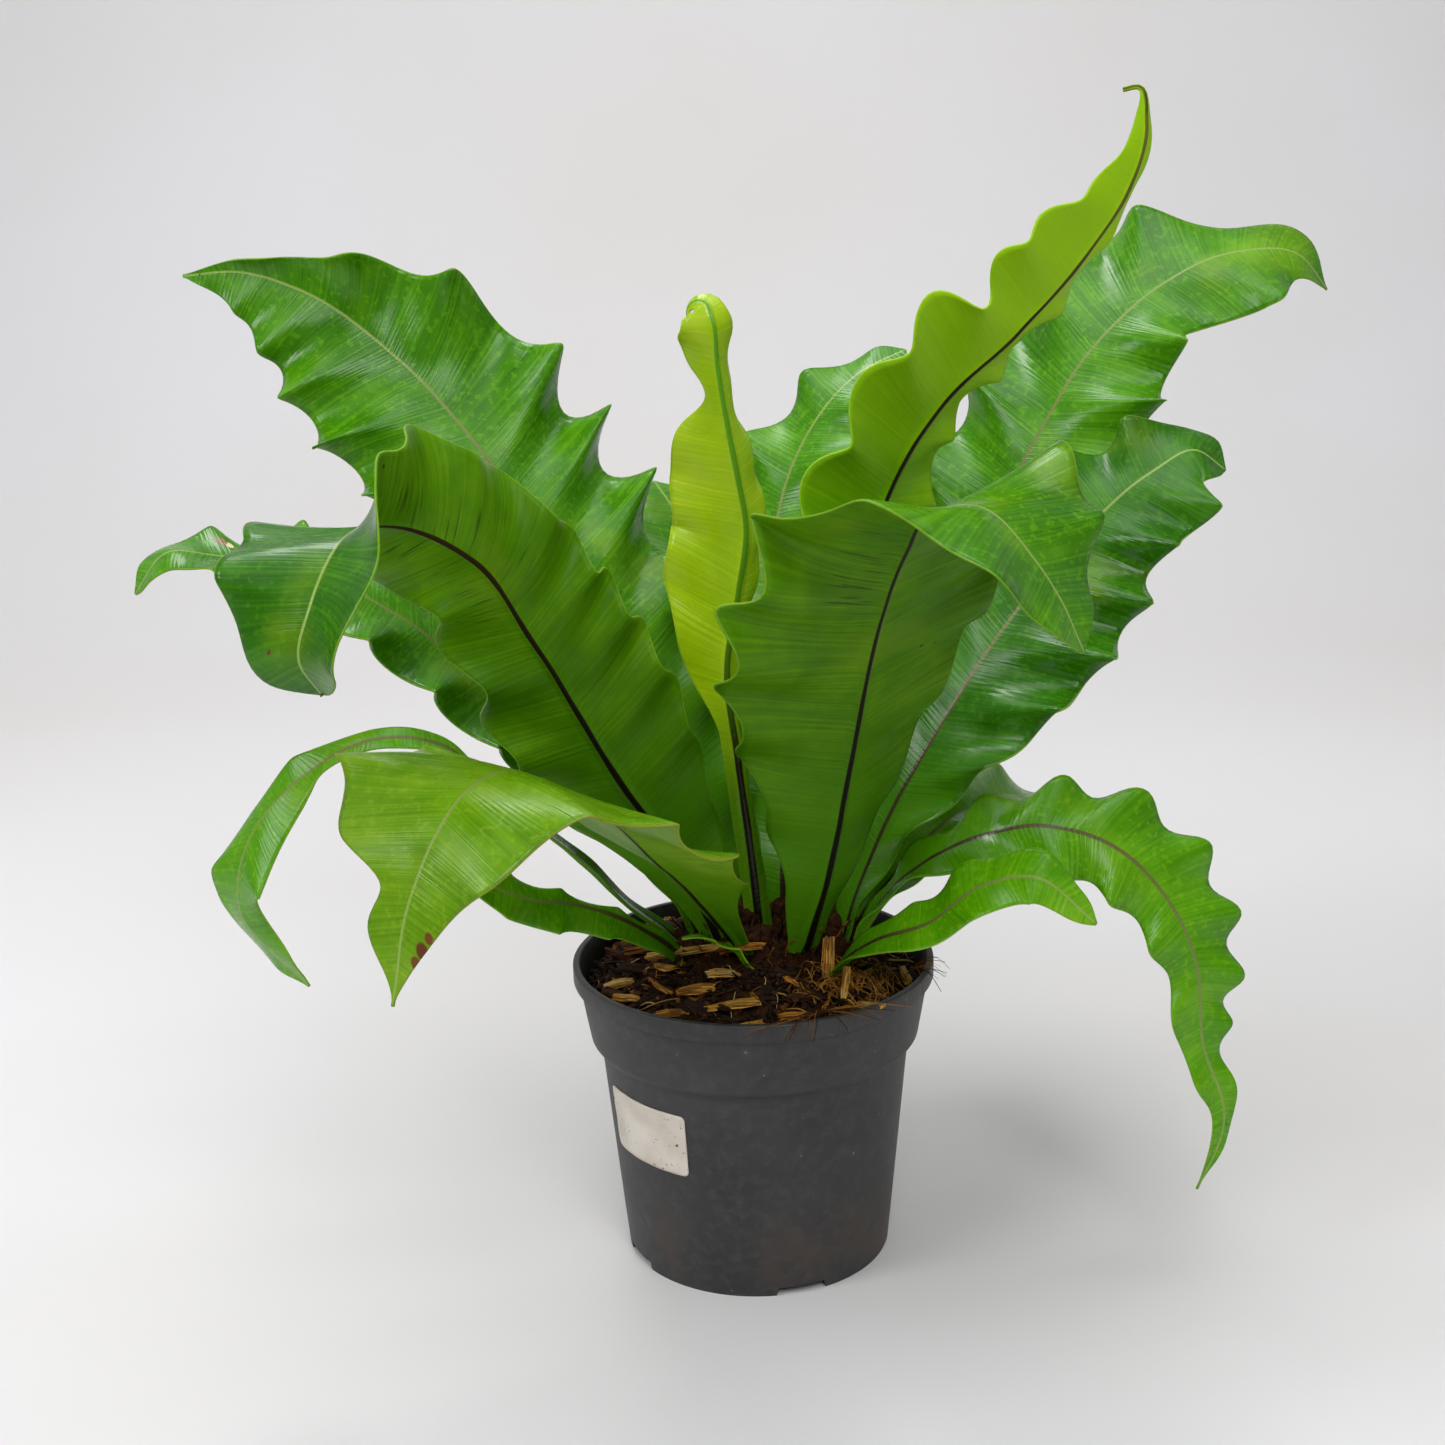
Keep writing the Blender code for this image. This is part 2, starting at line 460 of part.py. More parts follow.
def turned(name, outline, sides, group, finish=None):
    """A solid turned from an outline of (radius, height) points in millimetres."""
    profile = bmesh.new()
    points = [profile.verts.new((radius * MM, 0.0, height * MM)) for radius, height in outline]
    for first, second in zip(points, points[1:]):
        profile.edges.new((first, second))
    thing = add_object(name, profile, group, finish)
    screw = thing.modifiers.new("turn", "SCREW")
    screw.axis = "Z"
    screw.steps = sides
    screw.render_steps = sides
    screw.use_merge_vertices = True
    screw.merge_threshold = MERGE
    screw.use_smooth_shade = True
    return thing


def wall_radius(height, inset=0.0):
    """Radius of the pot's outer wall below the shoulder, less an inset."""
    share = height / SHOULDER_HEIGHT
    return BASE_RADIUS + (SHOULDER_RADIUS - BASE_RADIUS) * share - inset


def make_pot(group, tools, finish):
    lip_low = POT_HEIGHT - LIP_HEIGHT
    inside_low = BAND_LOW_HEIGHT + 2.0
    outline = [
        (LIP_INNER_RADIUS, POT_HEIGHT - 0.6),
        (LIP_INNER_RADIUS + 0.7, POT_HEIGHT),
        (LIP_RADIUS - 0.9, POT_HEIGHT),
        (LIP_RADIUS, POT_HEIGHT - 0.9),
        (LIP_RADIUS, lip_low + 0.6),
        (LIP_RADIUS - 0.6, lip_low),
        (BAND_RADIUS, lip_low),
        (BAND_LOW_RADIUS, BAND_LOW_HEIGHT),
        (BAND_LOW_RADIUS - 1.2, BAND_LOW_HEIGHT - 2.6),
        (SHOULDER_RADIUS + 1.2, SHOULDER_HEIGHT + 1.6),
        (SHOULDER_RADIUS, SHOULDER_HEIGHT),
        (BASE_RADIUS, 0.0),
        (BASE_RADIUS - FOOT_WIDTH, 0.0),
        (BASE_RADIUS - FOOT_WIDTH, FLOOR_RISE),
        (PAD_RADIUS + PAD_SLOPE, FLOOR_RISE),
        (PAD_RADIUS, 0.0),
        (0.0, 0.0),
        (0.0, FLOOR_RISE + FLOOR),
        (wall_radius(FLOOR_RISE + FLOOR, WALL), FLOOR_RISE + FLOOR),
        (SHOULDER_RADIUS - WALL, SHOULDER_HEIGHT + 0.8),
        (BAND_LOW_RADIUS - WALL, inside_low),
        (BAND_RADIUS - WALL, lip_low + 1.0),
    ]
    # The outline closes on itself, and its two middle points lie on the axis.
    middle = outline.index((0.0, FLOOR_RISE + FLOOR))
    inner = outline[middle:] + outline[:middle]
    pot = turned("pot", inner, POT_SIDES, group, finish)
    cutter = bmesh.new()
    for turn in NOTCH_TURNS:
        place = Matrix.Rotation(math.radians(turn), 4, "Z") @ Matrix.Translation((BASE_RADIUS * MM, 0.0, 0.0))
        notch = bmesh.ops.create_cube(cutter, size=1.0)["verts"]
        bmesh.ops.scale(cutter, vec=(NOTCH_REACH * MM, NOTCH_WIDTH * MM, 2 * NOTCH_HEIGHT * MM), verts=notch)
        for corner in notch:
            if corner.co.z > 0.0:
                corner.co.y *= NOTCH_TOP
        bmesh.ops.transform(cutter, matrix=place, verts=notch)
    notches = add_object("foot_notches", cutter, tools)
    hide_tool(notches)
    boolean(pot, notches, "DIFFERENCE")
    holes = bmesh.new()
    for i in range(DRAIN_COUNT):
        turn = math.tau * i / DRAIN_COUNT
        spot = Matrix.Translation((DRAIN_RING * math.cos(turn) * MM, DRAIN_RING * math.sin(turn) * MM,
                                   FLOOR_RISE * MM))
        bmesh.ops.create_cone(holes, cap_ends=True, segments=DRAIN_SIDES,
                              radius1=DRAIN_RADIUS * MM, radius2=DRAIN_RADIUS * MM,
                              depth=DRAIN_DRILL * MM, matrix=spot)
    drains = add_object("drain_holes", holes, tools)
    hide_tool(drains)
    boolean(pot, drains, "DIFFERENCE")
    return pot


def make_label(group, finish):
    """A sheet bent round the wall, with rounded corners."""
    sheet = bmesh.new()
    bmesh.ops.create_grid(sheet, x_segments=LABEL_GRID[0], y_segments=LABEL_GRID[1], size=0.5)
    middle = (LABEL_LOW + LABEL_HIGH) / 2
    tall = LABEL_HIGH - LABEL_LOW
    inset = LABEL_GAP + LABEL_THICK
    for corner in sheet.verts:
        across = corner.co.x * LABEL_WIDTH
        if abs(corner.co.x) > 0.49 and abs(corner.co.y) > 0.49:
            across -= math.copysign(LABEL_CORNER, across)
        height = middle + corner.co.y * tall
        radius = wall_radius(height) + inset
        turn = math.radians(LABEL_TURN) + across / wall_radius(middle)
        corner.co = (radius * math.cos(turn) * MM, radius * math.sin(turn) * MM, height * MM)
    label = add_object("pot_label", sheet, group, finish)
    thicken = label.modifiers.new("thickness", "SOLIDIFY")
    thicken.thickness = LABEL_THICK * MM
    thicken.offset = -1.0
    return label


def ripple(x, y, seed):
    """A smooth uneven height between about -1 and 1."""
    wave = math.sin(0.11 * x + 1.7 * seed) * math.cos(0.13 * y - 0.9 * seed)
    wave += 0.6 * math.sin(0.23 * x - 0.19 * y + seed)
    wave += 0.4 * math.cos(0.31 * x + 0.27 * y + 2.1 * seed)
    return wave / 1.6


def mix_height(x, y):
    """Height of the potting mix's top at a place."""
    inside = LIP_INNER_RADIUS - FIT_GAP
    share = min(math.hypot(x, y) / inside, 1.0)
    lift = (1.0 - share ** MIX_MOUND) * (MIX_TOP_HEIGHT - MIX_EDGE_HEIGHT)
    return MIX_EDGE_HEIGHT + lift + MIX_BUMP * ripple(x, y, 1.0) * (1.0 - 0.5 * share)


def inner_radius(height):
    """Radius of the pot's inner wall at a height."""
    lip_low = POT_HEIGHT - LIP_HEIGHT
    places = [FLOOR_RISE + FLOOR, SHOULDER_HEIGHT + 0.8, BAND_LOW_HEIGHT + 2.0, lip_low + 1.0, POT_HEIGHT]
    radii = [wall_radius(FLOOR_RISE + FLOOR, WALL), SHOULDER_RADIUS - WALL, BAND_LOW_RADIUS - WALL,
             BAND_RADIUS - WALL, LIP_INNER_RADIUS]
    return float(np.interp(height, places, radii))


def make_mix(group, tools, finish):
    """The potting mix: a turned body with an uneven top, bark chips and a hollow for the crown."""
    body = bmesh.new()
    low = FLOOR_RISE + FLOOR + FIT_GAP
    levels = [low, SHOULDER_HEIGHT + 0.8, BAND_LOW_HEIGHT + 2.0]
    columns = []
    for i in range(POT_SIDES):
        turn = math.tau * i / POT_SIDES
        line = []
        edge = inner_radius(MIX_EDGE_HEIGHT) - MIX_WALL_GAP
        for radius in (*MIX_RINGS, edge):
            x = radius * math.cos(turn)
            y = radius * math.sin(turn)
            line.append(body.verts.new((x * MM, y * MM, mix_height(x, y) * MM)))
        for height in reversed(levels):
            radius = inner_radius(height) - MIX_WALL_GAP
            line.append(body.verts.new((radius * math.cos(turn) * MM, radius * math.sin(turn) * MM,
                                        height * MM)))
        columns.append(line)
    top = body.verts.new((0.0, 0.0, mix_height(0.0, 0.0) * MM))
    floor = body.verts.new((0.0, 0.0, low * MM))
    for line, following in zip(columns, columns[1:] + columns[:1]):
        body.faces.new((top, line[0], following[0]))
        for k in range(len(line) - 1):
            body.faces.new((line[k], line[k + 1], following[k + 1], following[k]))
        body.faces.new((line[-1], floor, following[-1]))
    bmesh.ops.recalc_face_normals(body, faces=body.faces)
    bmesh.ops.triangulate(body, faces=body.faces)
    mix = add_object("potting_mix", body, group, finish)
    draw = random.Random(7)
    for i in range(CHIP_COUNT):
        turn = math.tau * (i + draw.uniform(0.1, 0.9)) / CHIP_COUNT
        radius = draw.uniform(*CHIP_RING)
        x = radius * math.cos(turn)
        y = radius * math.sin(turn)
        size = (draw.uniform(*CHIP_LENGTH), draw.uniform(*CHIP_WIDTH), draw.uniform(*CHIP_THICK))
        off = math.hypot((x - CROWN_CENTRE[0]) / CROWN_REACH[0], (y - CROWN_CENTRE[1]) / CROWN_REACH[1])
        if off < CHIP_CLEAR:
            continue
        chip = bmesh.new()
        corners = bmesh.ops.create_cube(chip, size=1.0)["verts"]
        bmesh.ops.scale(chip, vec=[side * MM for side in size], verts=corners)
        for corner in corners:
            if corner.co.z > 0.0:
                corner.co.x *= draw.uniform(0.7, 0.9)
                corner.co.y *= draw.uniform(0.6, 0.85)
        turned_so = Matrix.Rotation(draw.uniform(0.0, math.pi), 4, "Z")
        tipped = Matrix.Rotation(draw.uniform(-CHIP_TILT, CHIP_TILT), 4, "X")
        tipped = tipped @ Matrix.Rotation(draw.uniform(-CHIP_TILT, CHIP_TILT), 4, "Y")
        lift = mix_height(x, y) - CHIP_SINK * size[2]
        place = Matrix.Translation((x * MM, y * MM, lift * MM))
        bmesh.ops.transform(chip, matrix=place @ tipped @ turned_so, verts=chip.verts)
        for corner in corners:
            out = math.hypot(corner.co.x, corner.co.y) / MM
            keep = min(1.0, (inner_radius(MIX_EDGE_HEIGHT) - CHIP_WALL_GAP) / out)
            corner.co.x *= keep
            corner.co.y *= keep
        piece = add_object(f"bark_chip_{i + 1:02d}", chip, tools)
        hide_tool(piece)
        boolean(mix, piece, "UNION")
    hollow = bmesh.new()
    crown_shape(hollow, 2 * FIT_GAP)
    hollow_tool = add_object("crown_hollow", hollow, tools)
    hide_tool(hollow_tool)
    boolean(mix, hollow_tool, "DIFFERENCE")
    return mix


def crown_shape(body, grow):
    """The crown's lump: a dome on a rounded foot, grown on every side."""
    shape = bmesh.ops.create_uvsphere(body, u_segments=CROWN_GRID[0], v_segments=CROWN_GRID[1],
                                      radius=1.0)["verts"]
    for corner in shape:
        x, y, z = corner.co
        turn = math.atan2(y, x)
        swell = 1.0 + 0.05 * math.sin(3 * turn + 0.6) + 0.03 * math.sin(5 * turn)
        flat = math.copysign(abs(z) ** CROWN_FLAT, z)
        reach = (CROWN_TOP - CROWN_MIDDLE) if z > 0.0 else (CROWN_MIDDLE - CROWN_LOW)
        px = CROWN_CENTRE[0] + CROWN_REACH[0] * swell * x
        py = CROWN_CENTRE[1] + CROWN_REACH[1] * swell * y
        bump = CROWN_BUMP * ripple(1.9 * px, 1.9 * py, 2.0) * max(z, 0.0)
        corner.co = ((px + grow * x) * MM, (py + grow * y) * MM,
                     (CROWN_MIDDLE + (reach + grow) * flat + bump) * MM)
    bmesh.ops.triangulate(body, faces=body.faces)


def slot_tool(frond, tools, name):
    """A plain box round the part of a stalk that stands in the crown."""
    spine, length = rib_line(frond)
    tangents, sides, normals = rib_frames(spine, math.radians(frond["faces"]))
    rows = int(math.ceil((ROOT_DEPTH + SLOT_ABOVE) / length * SPINE_STEPS)) + 1
    exit_row = int(round(ROOT_DEPTH / length * SPINE_STEPS))
    turn = math.radians(frond["twist"][0][1])
    upper = math.cos(turn) * normals[:rows, None] - math.sin(turn) * sides[:rows, None]
    face = blade_points(frond, SPINE_STEPS, 4)[:rows]
    spots = np.concatenate([face, face - (BLADE + RIB_ROOT) * upper]).reshape(-1, 3) - spine[0]
    along = spine[exit_row] - spine[0]
    along /= np.linalg.norm(along)
    across = face[0, 4] - face[0, 0]
    across -= (across @ along) * along
    across /= np.linalg.norm(across)
    axes = np.stack([across, np.cross(along, across), along])
    reach = spots @ axes.T
    low = reach.min(0) - SLOT_GAP
    high = reach.max(0) + SLOT_GAP
    high[2] += SLOT_OPEN
    box = bmesh.new()
    corners = bmesh.ops.create_cube(box, size=1.0)["verts"]
    for corner in corners:
        share = np.array(corner.co) + 0.5
        corner.co = Vector(spine[0] + (low + share * (high - low)) @ axes) * MM
    bmesh.ops.recalc_face_normals(box, faces=box.faces)
    tool = add_object(f"slot_{name}", box, tools)
    hide_tool(tool)
    return tool


def make_crown(group, tools, finish):
    body = bmesh.new()
    crown_shape(body, 0.0)
    crown = add_object("crown", body, group, finish)
    for name, frond in FRONDS.items():
        boolean(crown, slot_tool(frond, tools, name), "DIFFERENCE")
    return crown


def rib_depth(share, distance, half):
    """How far the rib stands out below the blade, by share of the length and distance from the rib."""
    depth = RIB_ROOT + (RIB_TIP - RIB_ROOT) * share ** 0.6
    wide = RIB_ROOT_WIDTH + (RIB_TIP_WIDTH - RIB_ROOT_WIDTH) * share ** 0.6
    wide = min(wide, 0.8 * half)
    return depth * max(0.0, 1.0 - (distance / wide) ** 2) ** 0.5 if distance < wide else 0.0


def make_frond(name, frond, group, finish):
    """A frond's blade, with its rib standing out below."""
    along, across = frond["grid"]
    points = blade_points(frond, along, across)
    sheet = bmesh.new()
    bmesh.ops.create_grid(sheet, x_segments=along, y_segments=across, size=0.5)
    blade = add_object(name, sheet, group, finish)
    group_of_rib = blade.vertex_groups.new(name="thickness")
    half = half_width(frond, np.linspace(0.0, 1.0, along + 1))
    most = BLADE + RIB_ROOT
    for corner in blade.data.vertices:
        i = int(round((corner.co.x + 0.5) * along))
        j = int(round((0.5 - corner.co.y) * across))
        corner.co = Vector(points[i, j]) * MM
        distance = abs(2 * j / across - 1) * half[i]
        thick = BLADE + rib_depth(i / along, distance, half[i])
        group_of_rib.add([corner.index], thick / most, "REPLACE")
    split = blade.modifiers.new("triangles", "TRIANGULATE")
    split.quad_method = "FIXED"
    thicken = blade.modifiers.new("thickness", "SOLIDIFY")
    thicken.thickness = most * MM
    thicken.offset = -1.0
    thicken.vertex_group = "thickness"
    for face in blade.data.polygons:
        face.use_smooth = True
    return blade


def main():
    clear_scene()
    plant = collection("potted_fern")
    tools = collection("cutting_tools", shown=False)
    plastic = material("nursery_pot_plastic", (0.048, 0.047, 0.053), 0.55)
    paper = material("label_paper", (0.75, 0.74, 0.7), 0.75)
    peat = material("peat_and_bark", (0.045, 0.026, 0.014), 0.95)
    fibre = material("crown_fibre", (0.03, 0.02, 0.012), 0.95)
    make_pot(plant, tools, plastic)
    make_label(plant, paper)
    make_mix(plant, tools, peat)
    make_crown(plant, tools, fibre)
    for name, frond in FRONDS.items():
        young = "young" in name
        colour = (0.22, 0.36, 0.02) if young else (0.045, 0.17, 0.02)
        make_frond(name, frond, plant, material(f"{name}_leaf", colour, 0.4))


if __name__ == "__main__":
    main()
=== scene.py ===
"""Looks of the potted bird's nest fern: fine fronds, crown, potting mix, nursery pot and its studio."""
import math
import random
from functools import partial

import bmesh
import bpy
import numpy as np
from bpy.props import FloatProperty, FloatVectorProperty, IntProperty, PointerProperty
from mathutils import Matrix, Vector, noise


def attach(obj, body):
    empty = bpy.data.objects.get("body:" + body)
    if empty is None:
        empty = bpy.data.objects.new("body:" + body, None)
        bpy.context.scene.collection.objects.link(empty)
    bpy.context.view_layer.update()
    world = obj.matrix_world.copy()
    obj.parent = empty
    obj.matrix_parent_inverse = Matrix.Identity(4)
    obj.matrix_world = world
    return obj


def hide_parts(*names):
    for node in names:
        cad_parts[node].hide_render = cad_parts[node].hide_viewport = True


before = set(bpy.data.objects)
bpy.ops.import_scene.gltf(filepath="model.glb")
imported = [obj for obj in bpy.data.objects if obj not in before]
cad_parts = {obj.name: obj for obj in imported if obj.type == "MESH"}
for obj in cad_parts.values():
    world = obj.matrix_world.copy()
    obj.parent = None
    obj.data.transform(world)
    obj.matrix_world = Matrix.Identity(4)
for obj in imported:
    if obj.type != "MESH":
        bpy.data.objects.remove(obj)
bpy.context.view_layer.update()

bl_info = {
    "name": "Potted bird's nest fern",
    "version": (1, 0, 0),
    "blender": (4, 5, 0),
    "location": "View3D > Sidebar > Fern",
    "description": "Builds a bird's nest fern in a nursery pot around its packed solids",
    "category": "Add Mesh",
}

MM = 0.001

# Pot, in millimetres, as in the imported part
POT_HEIGHT = 144.8
BASE_RADIUS = 63.0
SHOULDER_RADIUS = 72.9
SHOULDER_HEIGHT = 103.6
BAND_LOW_RADIUS = 77.8
BAND_LOW_HEIGHT = 109.5
BAND_RADIUS = 82.4
LIP_RADIUS = 85.0
LIP_HEIGHT = 8.6
LIP_INNER_RADIUS = 81.8
WALL = 1.7
FLOOR_RISE = 4.5
FLOOR = 2.2
FOOT_WIDTH = 3.0
PAD_RADIUS = 14.0
PAD_SLOPE = 2.0
NOTCH_TURNS = (205, 288, 25, 115)
NOTCH_WIDTH = 26.0
NOTCH_HEIGHT = 4.0
NOTCH_TOP = 0.86
DRAIN_COUNT = 6
DRAIN_RING = 42.0
DRAIN_RADIUS = 4.5

# Label, in millimetres
LABEL_TURN = 222.5
LABEL_WIDTH = 50.5
LABEL_LOW = 61.0
LABEL_HIGH = 92.0
LABEL_THICK = 0.5
LABEL_CORNER = 2.6

# Potting mix and crown, in millimetres
MIX_EDGE_HEIGHT = 131.0
MIX_TOP_HEIGHT = 152.0
MIX_BUMP = 2.2
MIX_FULL = 5.0        # how much higher the mix stands on its fuller side
MIX_FULL_TURN = 295   # the middle of that side, in degrees
CROWN_CENTRE = (6.0, 0.0)
CROWN_REACH = (57.0, 47.0)
CROWN_MIDDLE = 138.0
CROWN_LOW = 122.0
CROWN_TOP = 159.0
CROWN_BUMP = 2.6
SCALE_COUNT = 330     # dry scales and stalk ends on the crown

# Frond blade, in millimetres
RIB_ROOT_WIDTH = 4.5
RIB_TIP_WIDTH = 1.2
VEIN_LEAN = 0.3       # how far a vein leans towards the tip, as a share of its length
DENSE_RIB = 1.6       # how much closer the blade's columns stand beside the rib
ACROSS = ((15, 12), (60, 24), (math.inf, 40))    # steps across a blade narrower than a width

# Photograph, in pixels, and its camera: the place in metres, and pitch, yaw and roll in degrees
PHOTO_SIDE = 1445
FOCAL_PIXELS = 2150.0
SENSOR_MM = 36.0
CAMERA_PLACE = (0.0, -0.950, 0.522)
CAMERA_TURNS = (15.5, -0.7, -1.45)


def even(count, first=0.2, last=0.97):
    """Evenly spaced shares of a length."""
    return [first + (last - first) * i / (count - 1) for i in range(count)]


